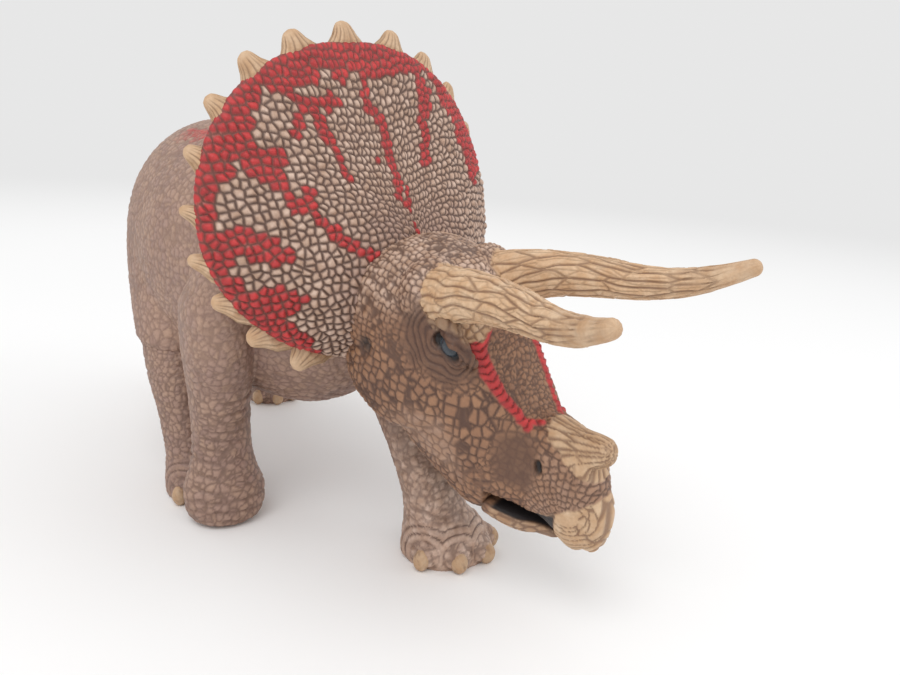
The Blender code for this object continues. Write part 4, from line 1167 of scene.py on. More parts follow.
def face_folds(points, folded, from_eye, height, groove):
    """Scales under folds of skin round the eye and the mouth's corner, and the share of the eye's folds."""
    beside, along, _ = folded.T
    out = wobble(points, 2.4, 45, 2.0) - from_eye * (1 - 0.22 * ramp(along, -18.0, -12.0))
    near = ramp(out, -7.4, -4.6) * ramp(beside, 8.0, 9.5)
    wave = ripple(from_eye + wobble(points, 3.0, 25, 2.2), 2.1, EYE_FOLD_PITCH)
    from_corner, _ = line_distance(folded[:, 1:], MOUTH_CORNER)
    lip_wave = ripple(from_corner + wobble(points, 2.5, 34, 1.8), 0.4, LIP_FOLD_PITCH)
    corner = ramp(-from_corner, -6.0, -4.0) * ramp(along, -33.0, -29.0) * ramp(beside, 5.0, 7.0)
    for share, folds in ((near, wave), (0.5 * corner * (1 - near), lip_wave)):
        height = height * (1 - 0.88 * share) + share * np.sqrt(folds) * 0.85
        groove = groove * (1 - 0.85 * share) + share * ramp(-folds, -0.42, -0.02)
    return height, groove, near


def face_stripe(points, folded):
    """The red stripe of overlapping scales down the brow: its share, its height and its grooves."""
    stripe, along = line_distance(folded, FACE_STRIPE)
    wide = np.interp(along, *np.array(STRIPE_HALF_WIDTHS).T) + wobble(points, 1.3, 26, 0.7)
    for line in STRIPE_BRANCHES:
        branch, _ = line_distance(folded, line)
        wide = np.maximum(wide, stripe + 0.75 - branch)
    step = (along + 0.55 * stripe + 0.8 * noise(points / 2.0, 26)) / STRIPE_STEP % 1.0
    overlap = ramp(step, 0.0, 0.25) * (1 - 0.6 * step) * (1 - 0.5 * ramp(stripe - wide, -0.9, 0.0))
    gaps = ramp(-step, -0.26, -0.02) + ramp(step, 0.88, 1.0)
    return ramp(wide - stripe, -0.15, 0.35), (0.05 + 0.95 * overlap) * MM, gaps


def face_bark(points, folded, shift):
    """Bark of nose horn and horn collars, and the layers of the beak: their share, cracks and tones."""
    across, along, up = points.T
    ragged = wobble(points, 1.5, 27, 1.2)
    above = up - np.interp(along, *np.array(NOSE_EDGE).T) + ragged
    nose_horn = ramp(above, -0.2, 0.3) * ramp(ragged - along - 34.6 - 0.25 * folded[:, 0], -0.3, 0.4)
    under = np.interp(along, *np.array(BEAK_EDGE).T) - up + 0.6 * ragged
    beak = ramp(under, -0.3, 0.3) * ramp(-along, 40.0, 41.0)
    collar = horn_collar(folded)

    # Flutes of the nose horn run from its root to its tip
    root, tip = (np.array((0.0, *row[:2])) for row in (NOSE_HORN_ROWS[0], NOSE_HORN_ROWS[-1]))
    axis = unit(tip - root)
    up_horn = (points - root) @ axis
    spoke = points - root - up_horn[:, None] * axis
    angle = np.arctan2(spoke[:, 0], spoke @ np.cross(axis, ASIDE))
    wander = wobble(points, 2.5, 28, 1.2)
    radius = np.full(len(points), 3.6)
    flutes, flute_tone = bark(up_horn + wander, angle + 0.08 * wander, radius, 7.0, 19, 28, 0.34)

    # Layers of the beak lie in arcs round its corner, and the collars have blunt plates
    spread = points[:, 1:] - np.array(BEAK_CENTRE)
    layer = np.linalg.norm(spread, axis=1) / 0.95 + 0.2 * wander
    turn = 0.9 * np.arctan2(spread[:, 0], spread[:, 1]) + 0.2 * wander
    layers, layer_tone, _, _ = cells(np.stack((layer, turn, across / 9.0), axis=1), 29, 0.55)
    layers = layers + 1 - ramp(layer, 1.2, 2.2)
    plates, plate_tone, _, _ = cells((points + shift) / np.array((1.9, 2.6, 1.9)), 32, 0.85)
    kinds = (nose_horn > 0.5, collar > 0.5)
    crack = np.select(kinds, (flutes, 1 - ramp(plates, 0.03, 0.13)), 1 - ramp(layers, 0.03, 0.14))
    tone = np.select(kinds[::-1], (plate_tone, flute_tone), layer_tone)
    return np.maximum.reduce((beak, nose_horn, collar)), crack, tone


def face_marks(points, normals):
    """Relief and paint of the face, from places in the head's frame in millimetres."""
    folded = folded_over(points)
    beside, along, up = folded.T
    side_view = folded[:, 1:]
    shift = drift(points, 6, 20, 1.2)
    from_eye, _ = line_distance(folded, EYE_LINE)
    height, groove, tone = face_scales(points, shift, from_eye)
    height, groove, near = face_folds(points, folded, from_eye, height, groove)

    # Bare skin of the jowl and smooth skin behind the nostril, then seams and creases
    bare = patch(side_view + 2 * shift[:, 1:], JOWL_PATCH, 2.5) * ramp(beside, 5.0, 7.0)
    smooth = patch(side_view + shift[:, 1:], NOSTRIL_PATCH, 1.5) * ramp(beside, 4.5, 6.0)
    height = height * (1 - 0.5 * bare) * (1 - 0.80 * smooth)
    groove = groove * (1 - 0.45 * bare) * (1 - 0.45 * smooth)
    domes = 0.6 + 0.4 * np.clip(height, 0, 1)
    height = height * sizes().face_scale
    for seam in MOUTH_SEAMS + (LID_CREASE, EYE_SLIT):
        gap, _ = line_distance(folded, seam)
        cut = ramp(-gap, -0.75, -0.15)
        height = height - 0.5 * MM * cut
        groove = np.maximum(groove, cut * 0.9)

    # The stripe, then the bark, lie over the scales
    on_stripe, stripe_height, stripe_groove = face_stripe(points, folded)
    height = height * (1 - on_stripe) + on_stripe * stripe_height
    groove = groove * (1 - on_stripe) + on_stripe * stripe_groove
    tan, crack, bark_tone = face_bark(points, folded, shift)
    height = height * (1 - tan) + tan * ((1 - crack) * sizes().crack_depth + 0.15 * MM)
    groove = groove * (1 - tan) + tan * crack * 0.8
    tone = tone * (1 - tan) + tan * bark_tone

    # Openings: nostril with its swollen edge, ear pit, eye socket and the inside of the mouth; their near
    # black is partly dark paint and partly painted shade of the hollows
    nostril, _ = line_distance(folded, NOSTRIL)
    pit = ramp(-nostril, -1.0, -0.45)
    edge = ramp(-np.abs(nostril - 1.5), -0.7, 0.0)
    ear = ramp(-np.linalg.norm(folded - np.array(EAR_PIT), axis=1), -2.6, -0.6)
    socket = ramp(-from_eye, -1.65, -1.2)
    palate = ramp(-normals[:, 2], 0.5, 0.8) * ramp(-up, 28.0, 29.5) * ramp(-along, 25.0, 28.0)
    slot = ramp(-beside, -5.6, -5.3) * ramp(-up, 26.0, 27.5) * ramp(-along, 15.5, 17.0)
    inside = np.maximum(palate, slot) * ramp(along, -43.6, -42.8)
    height = (height + (0.22 * edge - 0.9 * pit - 0.6 * ear - 0.9 * socket) * MM) * (1 - inside)
    muzzle = ramp(-along, 36.5, 39.0) * ramp(-up, 16.0, 19.0)
    lid = ramp(-np.abs(from_eye - 1.6), -0.5, -0.1)
    crown = ramp(up + 0.5 * along - 0.25 * beside, -14.0, -3.0)
    return height, {
        "groove": groove, "tone": tone, "red": on_stripe * (1 - tan), "tan": tan * (1 - inside),
        "dark": np.maximum.reduce((pit, inside, 0.8 * ear, socket)),
        "shade": np.maximum.reduce((0.62 * near, 0.66 * smooth, 0.16 * tan, 0.8 * lid)),
        "pale": np.maximum.reduce((crown * domes, 0.4 * bare, 0.22 * muzzle)),
    }


class TOY_OT_face(bpy.types.Operator):
    """Builds the face: skull, horn collars, brows, nose horn and beak in one skin with the mouth cut out"""

    bl_idname = "toy.face"
    bl_label = "Face"

    def execute(self, context):
        mesh = fuse("face", face_forms(), sizes().head_mesh, (mouth_form(), jaw_slot_form()))
        points = relax(mesh, 0.5, 5)
        height, marks = face_marks(points / MM, read_normals(mesh))
        emboss(mesh, height, **marks)
        add_to_head("face_skin", mesh, face_material("face_paint"))
        return {"FINISHED"}


def eye_form(side):
    """An eyeball stretched along the slit between the lids."""
    ends = mirrored(EYE_LINE, side) * MM
    ahead = unit(ends[1] - ends[0])
    outward = mirrored(ASIDE, side)
    outward = unit(outward - (outward @ ahead) * ahead)
    axes = np.array((ahead, np.cross(outward, ahead), outward)) * np.array(EYE_REACH)[:, None]
    return ellipsoid(ends.mean(axis=0) - outward * EYE_SUNK, axes, 32, 20)


class TOY_OT_eyes(bpy.types.Operator):
    """Builds both eyes as dark shining balls between the lids"""

    bl_idname = "toy.eyes"
    bl_label = "Eyes"

    def execute(self, context):
        mesh = outwards(mesh_of("eyes", [eye_form(side) for side in (-1, 1)]))
        add_to_head("eyes", mesh, plain_material("eye_paint", paints().eye, paints().eye_deep, 0.16))
        return {"FINISHED"}


def brow_horn(side, label):
    """A brow horn: rings along a bent path, cracked lengthwise like bark and smooth at the tip."""
    rows, around = ((sizes().horn_points, 150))
    points, radii = horn_path(side, rows)
    turn = full_turn(around)
    rings, circles, ahead = tube_rings(points, radii, turn)
    plug = points[0] - ahead[0] * HORN_PLUG + circles[0] * radii[0]
    rings = np.concatenate((plug[None], rings))
    rings, first_tip, last_tip = domed(rings, (0.1 * MM, 0.95 * radii[-1]), HORN_DOME_STEPS)
    mesh = outwards(mesh_of(label, [closed_grid(rings, first_tip, last_tip)]))
    places = read_points(mesh) / MM
    steps = np.linalg.norm(np.diff(points, axis=0), axis=1)
    length = np.concatenate(([0], np.cumsum(steps))) / MM
    row = np.concatenate((np.repeat(np.arange(len(rings)), around), (0, len(rings) - 1))) - HORN_DOME_STEPS
    along = np.interp(row, np.arange(rows), length)
    radius = np.interp(row, np.arange(rows), radii) / MM
    angle = np.concatenate((np.tile(turn, len(rings)), (0.0, 0.0)))
    share = along / length[-1]
    wander = wobble(places, 4.0, 31, 1.0)
    broad, tone = bark(along + 2.0 * wander, angle + 0.30 * wander, radius, 8.0, 13, 32 + side, 0.36)
    slight, _ = bark(along + 1.5 * wander, angle + 0.35 * wander, radius, 4.2, 22, 35 + side, 0.24)
    rough = 1 - 0.9 * ramp(share + wobble(places, 2.0, 38, 0.30), 0.66, 1.00)
    crack = np.maximum(broad, 0.5 * slight * ramp(radius, 1.6, 3.0)) * rough
    swell = rough_noise(np.stack((along / 4, np.cos(angle) * 2, np.sin(angle) * 2), axis=1), 36) - 0.5
    heights = -crack * sizes().crack_depth * 1.15 + swell * 0.5 * MM * (1 - ramp(share, 0.85, 1.0))
    smear = 0.35 * ramp(-np.abs(share - 0.91), -0.09, 0.0) * ramp(noise(places / 1.8, 37), 0.50, 0.80)
    emboss(
        mesh, heights, groove=crack * 0.85, tone=tone * rough + 0.5 * (1 - rough), tan=1.0,
        shade=np.maximum(smear, 0.15 * ramp(share, 0.6, 0.9)),
    )
    return add_to_head(label, mesh, skin_material(label + "_paint"), (label.replace("_skin", ""),))


class TOY_OT_horns(bpy.types.Operator):
    """Builds both brow horns with cracks like bark and smooth tips"""

    bl_idname = "toy.horns"
    bl_label = "Brow horns"

    def execute(self, context):
        brow_horn(-1, "right_brow_horn_skin")
        brow_horn(1, "left_brow_horn_skin")
        return {"FINISHED"}


def bar(centre, radius, half_length, sides=48):
    """Closed round bar across the head."""
    turn = full_turn(sides)
    ring = np.stack((0 * turn, np.cos(turn), np.sin(turn)), axis=1) * radius
    rings = centre + ring + np.linspace(-half_length, half_length, 7)[:, None, None] * ASIDE
    return closed_grid(rings, rings[0].mean(axis=0), rings[-1].mean(axis=0))


class TOY_OT_jaw(bpy.types.Operator):
    """Builds the lower jaw: root, lip and heel in one skin, tan along the lip and dark inside"""

    bl_idname = "toy.jaw"
    bl_label = "Lower jaw"

    def execute(self, context):
        section = head_section(JAW_HINGE, JAW_WIDTH, JAW_LENGTH, JAW_DEPTH)
        forms = [
            loft(JAW_ROOT_SHARES, section, SKULL_POWER, (0.0, 0.6), 48),
            loft(JAW_LIP_SHARES, section, SKULL_POWER, (0.0, 0.6), 64),
            bar(JAW_HINGE, JAW_HEEL_RADIUS, JAW_HEEL_WIDTH / 2),
        ]
        bore = bar(JAW_HINGE, PIN_RADIUS + CLEARANCE, JAW_WIDTH)
        mesh = fuse("jaw", forms, 0.25 * MM, (bore,))
        points = relax(mesh, 0.5, 3)
        height, groove, tone, _ = pebbles(points / MM / np.array((3.0, 3.0, 1.0)), 51, dome=0.4)
        forward = (JAW_HINGE[1] - points[:, 1]) / JAW_LENGTH
        lip = ramp(forward, 0.46, 0.52)
        # Near black on the jaw's upper side inside the mouth and on its root between the cheeks: partly dark
        # paint, partly painted shade
        inside = ramp(read_normals(mesh)[:, 2], 0.55, 0.85) * lip
        inside = np.maximum(inside, 1 - ramp(forward, 0.36, 0.48))
        outside = 1 - inside
        emboss(
            mesh, height * 0.20 * MM * lip * outside, groove=groove * outside * 0.8, tone=tone,
            tan=lip * 0.55 * outside, dark=inside, shade=0.15 * lip,
        )
        add_to_head("jaw_skin", mesh, face_material("jaw_paint"), ("lower_jaw",), "jaw")
        return {"FINISHED"}


def add_to_head(name, mesh, material, nodes=("head",), body="figure"):
    """Moves a mesh from the head's frame to its place and finishes the piece."""
    write_points(mesh, in_head(read_points(mesh)))
    return add_piece(name, mesh, material, nodes, body)


def toe_places(rows, turns):
    """Middles of the toes round a foot's front: the foot's middle plus sine and cosine of each toe's turn."""
    _, aside, along, wide, front, _ = rows[1]
    foot = np.array((aside * BODY_WIDTH, along * BODY_LENGTH, TOE_RADIUS * TOE_HEIGHT_SHARE))
    reach = np.array((wide, front)) * LEG_GIRTH - TOE_RADIUS / 2
    return foot + np.stack((reach[0] * np.sin(turns), -reach[1] * np.cos(turns), 0 * turns), axis=1)


def leg_forms(rows, turns):
    """A leg with its toes."""
    forms = [loft(rows, leg_section(LEG_GIRTH), BODY_POWER, (0.0, 0.45), 64)]
    toe = np.diag((1.0, 1.0, TOE_HEIGHT_SHARE)) * TOE_RADIUS
    return forms + [ellipsoid(place, toe, 24, 14) for place in toe_places(rows, turns)]


def body_marks(points, salt, cell, strength):
    """Relief and paint of the pebbled skin, wrinkled down the legs, from places in millimetres."""
    shift = drift(points, 9, salt, 2.2)
    height, groove, tone, seed = pebbles((points + shift) / cell, salt + 4, 0.85, dome=0.45)
    low = 1 - ramp(points[:, 2], 24.0, 44.0)
    creases = np.abs(2 * rough_noise((points + 2 * shift) / np.array((9.0, 9.0, 4.0)), salt + 6, 2) - 1)
    crease = (1 - ramp(creases, 0.01, 0.10)) * 0.35
    wave = ripple(points[:, 2] + 1.6 * shift[:, 0] + 0.8 * shift[:, 1], 0.0, LEG_FOLD_PITCH)
    wrinkle = ramp(-wave, -0.20, -0.02) * low * ramp(noise(points / 5.0, salt + 9), 0.30, 0.60)
    height = height * sizes().body_scale * strength - (crease + 0.8 * wrinkle) * 0.45 * MM * strength
    groove = np.maximum(groove * (0.42 + 0.20 * low), np.maximum(crease, wrinkle * 0.55))
    return height, groove, tone, seed * cell - shift, 0.06 * low


def toe_wrinkles(points, rows, turns):
    """Arched wrinkles of skin round each nail: their share, rise and grooves, from places in millimetres."""
    middles = toe_places(rows, turns) / MM
    apart = np.min([np.linalg.norm(points - middle, axis=1) for middle in middles], axis=0)
    wave = ripple(apart, 4.1, TOE_FOLD_PITCH)
    share = ramp(-apart, -8.0, -6.0) * ramp(apart, 3.2, 3.8)
    return share, np.sqrt(wave), ramp(-wave, -0.25, -0.02)


def pebbled(mesh, rounds, salt, cell, strength, toes=None):
    """Evens out a skin, and works out its places in millimetres, relief, grooves, tones, seeds and low parts.

    Toes give the leg's rows, the turns of its toes, the wrinkles' height and how dark their grooves are.
    The skin stays even and flat where it meets the floor.
    """
    level = ramp(read_points(mesh)[:, 2], 0.5 * MM, 2.5 * MM)
    places = relax(mesh, 0.5 * level, rounds) / MM
    height, groove, tone, seed, low = body_marks(places, salt, cell, strength)
    if toes:
        rows, turns, wrinkle_height, wrinkle_groove = toes
        share, wave, gap = toe_wrinkles(places, rows, turns)
        height = height * (1 - 0.7 * share) + share * wave * wrinkle_height
        groove = groove * (1 - 0.7 * share) + share * gap * wrinkle_groove
    return places, height * ramp(places[:, 2], 0.2, 1.2), groove, tone, seed, low


def finish_skin(mesh, height, **marks):
    """Embosses a skin and moves it from its own frame to its place."""
    emboss(mesh, height, **marks)
    write_points(mesh, read_points(mesh) + FIGURE_SHIFT)


class TOY_OT_trunk(bpy.types.Operator):
    """Builds body, thighs and forelegs in one skin, then parts it across the back in two closed pieces"""

    bl_idname = "toy.trunk"
    bl_label = "Body and forelegs"

    def execute(self, context):
        forms = [loft(TORSO_SHARES, body_section, BODY_POWER, (0.4, 0.05), 96)]
        for rows in (RIGHT_THIGH_SHARES, LEFT_THIGH_SHARES):
            forms.append(loft(rows, leg_section(THIGH_GIRTH), BODY_POWER, (0.5, 0.5), 72))
        forms += leg_forms(RIGHT_FORELEG_SHARES, np.array(()))
        forms += leg_forms(LEFT_FORELEG_SHARES, FORE_TOE_TURNS)
        mesh = fuse("trunk", forms, sizes().skin_mesh)
        toes = (LEFT_FORELEG_SHARES, FORE_TOE_TURNS, 0.45 * MM, 0.9)
        places, height, groove, tone, seed, low = pebbled(mesh, 8, 60, BODY_CELL, 1.0, toes)

        # Broken streaks of red along the back, on scales that noise picks out
        beside_ridge = np.abs(seed[:, 0] - np.interp(seed[:, 1], *np.array(RIDGE_LINE).T))
        streak = np.abs(noise(seed / np.array((7.0, 9.0, 7.0)), 67) - 0.55) < 0.07
        streak &= scatter(np.floor(seed * 50), 66)[:, 0] > 0.15
        red = streak * ramp(seed[:, 2], 64, 74) * ramp(-beside_ridge, -19, -13) * 0.7
        across, along, up = places.T
        # Painted light: the near foreleg, which the head shades, is painted paler and left out of the
        # darkening lower down
        leg = ramp(across, 2.0, 8.0) * ramp(-along, 22.0, 30.0) * ramp(-up, -40.0, -28.0)
        finish_skin(mesh, height, groove=groove, tone=tone, red=red, shade=low * (1 - leg), pale=0.75 * leg)
        material = skin_material("body_paint")
        front, rear = part_mesh(mesh, Vector(TRUNK_PARTING * -AHEAD), Vector(-AHEAD))
        add_piece("forequarters_skin", front, material, ("torso", "right_foreleg", "left_foreleg"))
        add_piece("hindquarters_skin", rear, material, ("torso",))
        return {"FINISHED"}


def part_mesh(mesh, place, direction):
    """Parts a closed mesh at a plane in two closed meshes, first the one the direction points away from."""
    parts = []
    for away in (True, False):
        shape = bmesh.new()
        shape.from_mesh(mesh)
        geometry = list(shape.verts) + list(shape.edges) + list(shape.faces)
        bmesh.ops.bisect_plane(
            shape, geom=geometry, plane_co=place, plane_no=direction, clear_outer=away, clear_inner=not away
        )
        borders = [edge for edge in shape.edges if edge.is_boundary]
        filled = bmesh.ops.holes_fill(shape, edges=borders, sides=0)["faces"]
        for face in filled:
            for edge in face.edges:
                edge.smooth = False
        part = bpy.data.meshes.new(mesh.name + ("_front" if away else "_rear"))
        shape.to_mesh(part)
        shape.free()
        parts.append(part)
    return parts


class TOY_OT_shanks(bpy.types.Operator):
    """Builds both hind shanks with their feet and toes"""

    bl_idname = "toy.shanks"
    bl_label = "Hind shanks"

    def execute(self, context):
        plans = (
            ("right_shank_skin", RIGHT_SHANK_SHARES, "right_hind_leg", 80),
            ("left_shank_skin", LEFT_SHANK_SHARES, "left_hind_leg", 90),
        )
        for name, rows, node, salt in plans:
            mesh = fuse(name, leg_forms(rows, HIND_TOE_TURNS), sizes().skin_mesh * 0.85)
            toes = (rows, HIND_TOE_TURNS, 0.30 * MM, 0.7)
            _, height, groove, tone, _, low = pebbled(mesh, 6, salt, SHANK_CELL, 0.9, toes)
            finish_skin(mesh, height, groove=groove, tone=tone, shade=low)
            add_piece(name, mesh, skin_material(name + "_paint"), (node,))
        return {"FINISHED"}


class TOY_OT_tail(bpy.types.Operator):
    """Builds the short drooping tail"""

    bl_idname = "toy.tail"
    bl_label = "Tail"

    def execute(self, context):
        mesh = fuse("tail", [loft(TAIL_SHARES, tail_section, BODY_POWER, (0.05, 0.6), 64)], sizes().skin_mesh)
        _, height, groove, tone, _, low = pebbled(mesh, 5, 100, TAIL_CELL, 0.9)
        finish_skin(mesh, height, groove=groove, tone=tone, shade=0.3 * low)
        add_piece("tail_skin", mesh, skin_material("tail_paint"), ("tail",))
        return {"FINISHED"}


class TOY_OT_nails(bpy.types.Operator):
    """Builds the blunt nails in front of the toes"""

    bl_idname = "toy.nails"
    bl_label = "Nails"

    def execute(self, context):
        forms = []
        plans = (
            (LEFT_FORELEG_SHARES, FORE_TOE_TURNS),
            (RIGHT_SHANK_SHARES, HIND_TOE_TURNS),
            (LEFT_SHANK_SHARES, HIND_TOE_TURNS),
        )
        for rows, turns in plans:
            for place, turn in zip(toe_places(rows, turns), turns):
                across = np.array((math.cos(turn), math.sin(turn), 0.0))
                ahead = np.array((math.sin(turn), -math.cos(turn), 0.0))
                centre = place * np.array((1.0, 1.0, 0.0)) + ahead * NAIL_FORWARD_SHARE * TOE_RADIUS
                axes = np.array((across, ahead, UP)) * np.array(NAIL_REACH)[:, None]
                forms.append(ellipsoid(centre + UP * NAIL_HEIGHT, axes, 28, 16))
        mesh = outwards(mesh_of("nails", forms))
        grain = rough_noise(read_points(mesh) / MM / 0.9, 111)
        groove = ramp(-grain, -0.42, -0.30) * 0.5
        finish_skin(mesh, (grain - 0.5) * 0.25 * MM, groove=groove, tone=grain, tan=1.0, shade=0.28)
        nodes = ("left_foreleg", "right_hind_leg", "left_hind_leg")
        add_piece("nails", mesh, skin_material("nail_paint"), nodes)
        return {"FINISHED"}


def add_node(tree, kind, inputs=None, **settings):
    """A node with its settings, its inputs either linked or given a value."""
    node = tree.nodes.new(kind)
    for name, value in settings.items():
        setattr(node, name, value)
    for socket, value in (inputs or {}).items():
        if isinstance(value, bpy.types.NodeSocket):
            tree.links.new(value, node.inputs[socket])
        else:
            node.inputs[socket].default_value = value
    return node


def blended(tree, share, low, high):
    """Colour between two colours by a share."""
    inputs = {0: share}
    for socket, value in ((6, low), (7, high)):
        inputs[socket] = value if isinstance(value, bpy.types.NodeSocket) else (*tuple(value)[:3], 1.0)
    return add_node(tree, "ShaderNodeMix", inputs, data_type="RGBA").outputs[2]


def times(tree, first, second):
    """Product of two values."""
    return add_node(tree, "ShaderNodeMath", {0: first, 1: second}, operation="MULTIPLY").outputs[0]


def mark(tree, name):
    """Value of a mark that is kept for each point."""
    return add_node(tree, "ShaderNodeAttribute", attribute_name=name).outputs["Fac"]


def cloud(tree, place, fineness):
    """Soft random field, so many features to the metre, spread to fill zero to one."""
    field = add_node(tree, "ShaderNodeTexNoise", {"Vector": place, "Scale": fineness, "Detail": 3.0})
    spread = {"Value": field.outputs["Fac"], "From Min": 0.32, "From Max": 0.68}
    return add_node(tree, "ShaderNodeMapRange", spread).outputs["Result"]


def new_material(name):
    """An empty material, its nodes, and the place on the object."""
    material = bpy.data.materials.new(name)
    material.use_nodes = True
    tree = material.node_tree
    tree.nodes.clear()
    return material, tree, add_node(tree, "ShaderNodeTexCoord").outputs["Object"]


def close_material(tree, base, roughness, bump=None, metallic=0.0):
    """Shader and output of a material."""
    inputs = {"Base Color": base, "Roughness": roughness, "Metallic": metallic}
    if bump is not None:
        grain = {"Height": bump, "Strength": 0.35, "Distance": 0.1 * MM}
        inputs["Normal"] = add_node(tree, "ShaderNodeBump", grain).outputs["Normal"]
    shader = add_node(tree, "ShaderNodeBsdfPrincipled", inputs)
    add_node(tree, "ShaderNodeOutputMaterial", {"Surface": shader.outputs["BSDF"]})


def skin_material(name, base=None, cool=None, warm=None):
    """Painted rubber skin: a drifting brown, pale scale tops, painted light that makes the shaded near
    foreleg paler, dark wash in the grooves, and other paints.
    """
    paint = paints()
    cool = cool or paint.skin_cool
    material, tree, place = new_material(name)
    groove, tone, on_red, on_tan, dark, shade, pale = (mark(tree, word) for word in MARKS)
    broad, middle, fine = (cloud(tree, place, fineness) for fineness in (70, 420, 1900))
    brown = blended(tree, times(tree, broad, 0.7), base or paint.skin, cool)
    brown = blended(tree, times(tree, tone, 0.55), brown, warm or paint.skin_warm)
    # Pale paint on scale tops, and painted light where the shaded near foreleg is made paler
    brown = blended(tree, times(tree, pale, 0.85), brown, blended(tree, middle, paint.frill, paint.skin_warm))
    brown = blended(tree, times(tree, middle, 0.18), brown, cool)
    red = blended(tree, times(tree, middle, 0.7), paint.red, paint.red_deep)
    tan = blended(tree, middle, paint.horn, paint.horn_warm)
    tan = blended(tree, times(tree, tone, 0.4), tan, paint.horn_warm)
    wash = blended(tree, times(tree, on_red, 0.6), paint.wash, paint.red_deep)
    wash = blended(tree, on_tan, wash, paint.crack)
    painted = blended(tree, on_tan, blended(tree, on_red, brown, red), tan)
    painted = blended(tree, times(tree, groove, 0.92), painted, wash)
    painted = blended(tree, shade, painted, paint.wash)
    painted = blended(tree, times(tree, fine, 0.16), painted, wash)
    painted = blended(tree, dark, painted, paint.mouth)
    close_material(tree, painted, 0.52, fine)
    return material


def face_material(name):
    """Painted skin in the darker browns of face and jaw."""
    return skin_material(name, paints().face, paints().face_cool, paints().face_warm)


def plain_material(name, light, deep, roughness, metallic=0.0):
    """One paint that drifts between two colours."""
    material, tree, place = new_material(name)
    close_material(tree, blended(tree, cloud(tree, place, 500), light, deep), roughness, metallic=metallic)
    return material


PIN_STEEL = (0.62, 0.62, 0.63)
PIN_STEEL_DEEP = (0.50, 0.50, 0.52)


class TOY_OT_pin(bpy.types.Operator):
    """Gives the jaw's pin a brushed steel finish"""

    bl_idname = "toy.pin"
    bl_label = "Jaw pin"

    def execute(self, context):
        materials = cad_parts["jaw_pin"].data.materials
        materials.clear()
        materials.append(plain_material("pin_steel_paint", PIN_STEEL, PIN_STEEL_DEEP, 0.28, 1.0))
        return {"FINISHED"}


class TOY_OT_stage(bpy.types.Operator):
    """Builds the pale floor, the soft light and the camera"""

    bl_idname = "toy.stage"
    bl_label = "Stage"

    def execute(self, context):
        make_floor()
        make_light()
        make_camera()
        return {"FINISHED"}


# Tones and sizes of the stage; lamps have a name, a place, a size and a power
BACKDROP = 0.80
FLOOR_GLOW = 0.985
FLOOR_TONE = 0.94
FLOOR_RADIUS = 4.0
FLOOR_GLOW_REACH = (0.15, 0.45)
FLOOR_DIM_REACH = (0.22, 0.90)
SKY_STRENGTH = 0.86
LAMPS = (("key_lamp", (-0.35, -0.35, 0.75), 0.55, 2.2), ("fill_lamp", (0.55, -0.45, 0.45), 0.5, 0.8))
LAMP_TARGET = Vector((0, 0, 0.04))


def smooth_share(tree, value, reach):
    """Share that rises smoothly from zero at the reach's first number to one at its last."""
    inputs = {"Value": value, "From Min": reach[0], "From Max": reach[1]}
    return add_node(tree, "ShaderNodeMapRange", inputs, interpolation_type="SMOOTHSTEP").outputs["Result"]


def make_floor():
    """A round pale floor that takes shadows near the toy and fades to the backdrop further out, its glow
    dimming with distance as painted falloff of the light.
    """
    turn = full_turn(96)
    rim = np.stack((FLOOR_RADIUS * np.cos(turn), FLOOR_RADIUS * np.sin(turn), 0 * turn), axis=1)
    mesh = bpy.data.meshes.new("floor")
    mesh.from_pydata(rim, [], [list(range(len(rim)))])
    material, tree, place = new_material("floor_paint")
    far = add_node(tree, "ShaderNodeVectorMath", {0: place}, operation="LENGTH").outputs["Value"]
    # Painted light: the glow dims from near white to the backdrop's grey with distance, as the light falls
    # off
    glow_with_painted_falloff = blended(tree, smooth_share(tree, far, FLOOR_DIM_REACH), (FLOOR_GLOW,) * 3, (BACKDROP,) * 3)
    near = add_node(tree, "ShaderNodeBsdfDiffuse", {"Color": (FLOOR_TONE, FLOOR_TONE, FLOOR_TONE, 1.0)})
    glow = add_node(tree, "ShaderNodeEmission", {"Color": glow_with_painted_falloff})
    fade = smooth_share(tree, far, FLOOR_GLOW_REACH)
    both = add_node(tree, "ShaderNodeMixShader", {0: fade, 1: near.outputs[0], 2: glow.outputs[0]})
    add_node(tree, "ShaderNodeOutputMaterial", {"Surface": both.outputs[0]})
    mesh.materials.append(material)
    floor = linked("floor", mesh)


def make_light():
    """An even pale sky, with a pale backdrop for the camera, and two broad soft lamps."""
    world = bpy.data.worlds.new("pale_room")
    world.use_nodes = True
    tree = world.node_tree
    tree.nodes.clear()
    sky = add_node(tree, "ShaderNodeBackground", {"Color": (1.0, 1.0, 1.0, 1.0), "Strength": SKY_STRENGTH})
    pale = (BACKDROP, BACKDROP, BACKDROP, 1.0)
    drop = add_node(tree, "ShaderNodeBackground", {"Color": pale, "Strength": 1.0})
    seen = add_node(tree, "ShaderNodeLightPath").outputs["Is Camera Ray"]
    both = add_node(tree, "ShaderNodeMixShader", {0: seen, 1: sky.outputs[0], 2: drop.outputs[0]})
    add_node(tree, "ShaderNodeOutputWorld", {"Surface": both.outputs[0]})
    bpy.context.scene.world = world
    for name, place, size, power in LAMPS:
        lamp = bpy.data.lights.new(name, "AREA")
        lamp.shape = "DISK"
        lamp.size = size
        lamp.energy = power
        holder = linked(name, lamp)
        holder.location = place
        holder.rotation_euler = (LAMP_TARGET - Vector(place)).to_track_quat("-Z", "Y").to_euler()


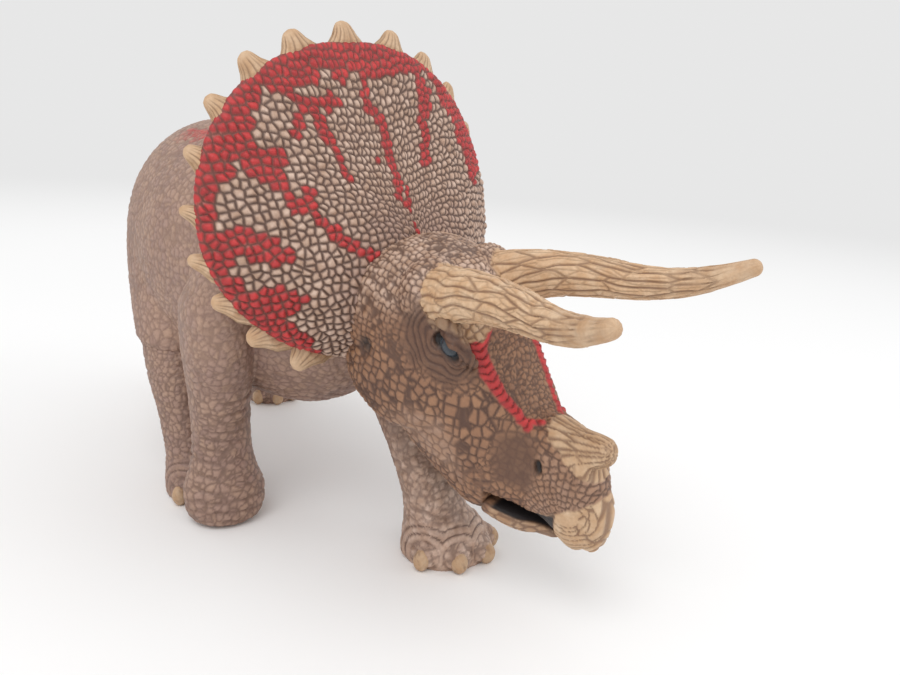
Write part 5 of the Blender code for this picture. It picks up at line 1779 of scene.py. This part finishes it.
def make_camera():
    """The camera that looks at the toy as it is pictured."""
    back = np.array((
        math.sin(CAMERA_AZIMUTH) * math.cos(CAMERA_ELEVATION),
        -math.cos(CAMERA_AZIMUTH) * math.cos(CAMERA_ELEVATION),
        math.sin(CAMERA_ELEVATION),
    ))
    level = np.array((math.cos(CAMERA_AZIMUTH), math.sin(CAMERA_AZIMUTH), 0.0))
    upright = np.cross(back, level)
    turn = np.eye(4)
    turn[:3, 0] = math.cos(CAMERA_ROLL) * level + math.sin(CAMERA_ROLL) * upright
    turn[:3, 1] = -math.sin(CAMERA_ROLL) * level + math.cos(CAMERA_ROLL) * upright
    turn[:3, 2] = back
    turn[:3, 3] = CAMERA_PLACE + FIGURE_SHIFT
    data = bpy.data.cameras.new("camera")
    data.lens = CAMERA_LENS
    data.sensor_width = SENSOR_WIDTH
    data.clip_start = 0.005
    data.clip_end = 20.0
    camera = linked("camera", data)
    camera.matrix_world = Matrix(turn.tolist())
    bpy.context.scene.camera = camera


class TOY_PT_panel(bpy.types.Panel):
    """Sidebar panel with the toy's sizes, paints and building steps"""

    bl_idname = "TOY_PT_panel"
    bl_label = "Horned dinosaur toy"
    bl_space_type = "VIEW_3D"
    bl_region_type = "UI"
    bl_category = "Toy"

    def draw(self, context):
        layout = self.layout
        for group in (context.scene.toy_sizes, context.scene.toy_paints):
            for name in group.__annotations__:
                layout.prop(group, name)
        for operator in OPERATORS:
            layout.operator(operator.bl_idname)


OPERATORS = (
    TOY_OT_trunk, TOY_OT_shanks, TOY_OT_tail, TOY_OT_face, TOY_OT_frill, TOY_OT_spikes, TOY_OT_eyes,
    TOY_OT_horns, TOY_OT_jaw, TOY_OT_nails, TOY_OT_pin, TOY_OT_stage,
)
CLASSES = (ToySizes, ToyPaints) + OPERATORS + (TOY_PT_panel,)


def register():
    """Makes the toy's settings, operators and panel known to Blender."""
    for kind in CLASSES:
        bpy.utils.register_class(kind)
    bpy.types.Scene.toy_sizes = PointerProperty(type=ToySizes)
    bpy.types.Scene.toy_paints = PointerProperty(type=ToyPaints)


def unregister():
    """Takes them back."""
    del bpy.types.Scene.toy_paints
    del bpy.types.Scene.toy_sizes
    for kind in reversed(CLASSES):
        bpy.utils.unregister_class(kind)


def main():
    """Builds the toy and its stage."""
    register()
    bpy.ops.toy.trunk()
    bpy.ops.toy.shanks()
    bpy.ops.toy.tail()
    bpy.ops.toy.face()
    bpy.ops.toy.frill()
    bpy.ops.toy.spikes()
    bpy.ops.toy.eyes()
    bpy.ops.toy.horns()
    bpy.ops.toy.jaw()
    bpy.ops.toy.nails()
    bpy.ops.toy.pin()
    bpy.ops.toy.stage()
    bpy.context.scene.view_settings.view_transform = "Standard"


if __name__ == "__main__":
    main()
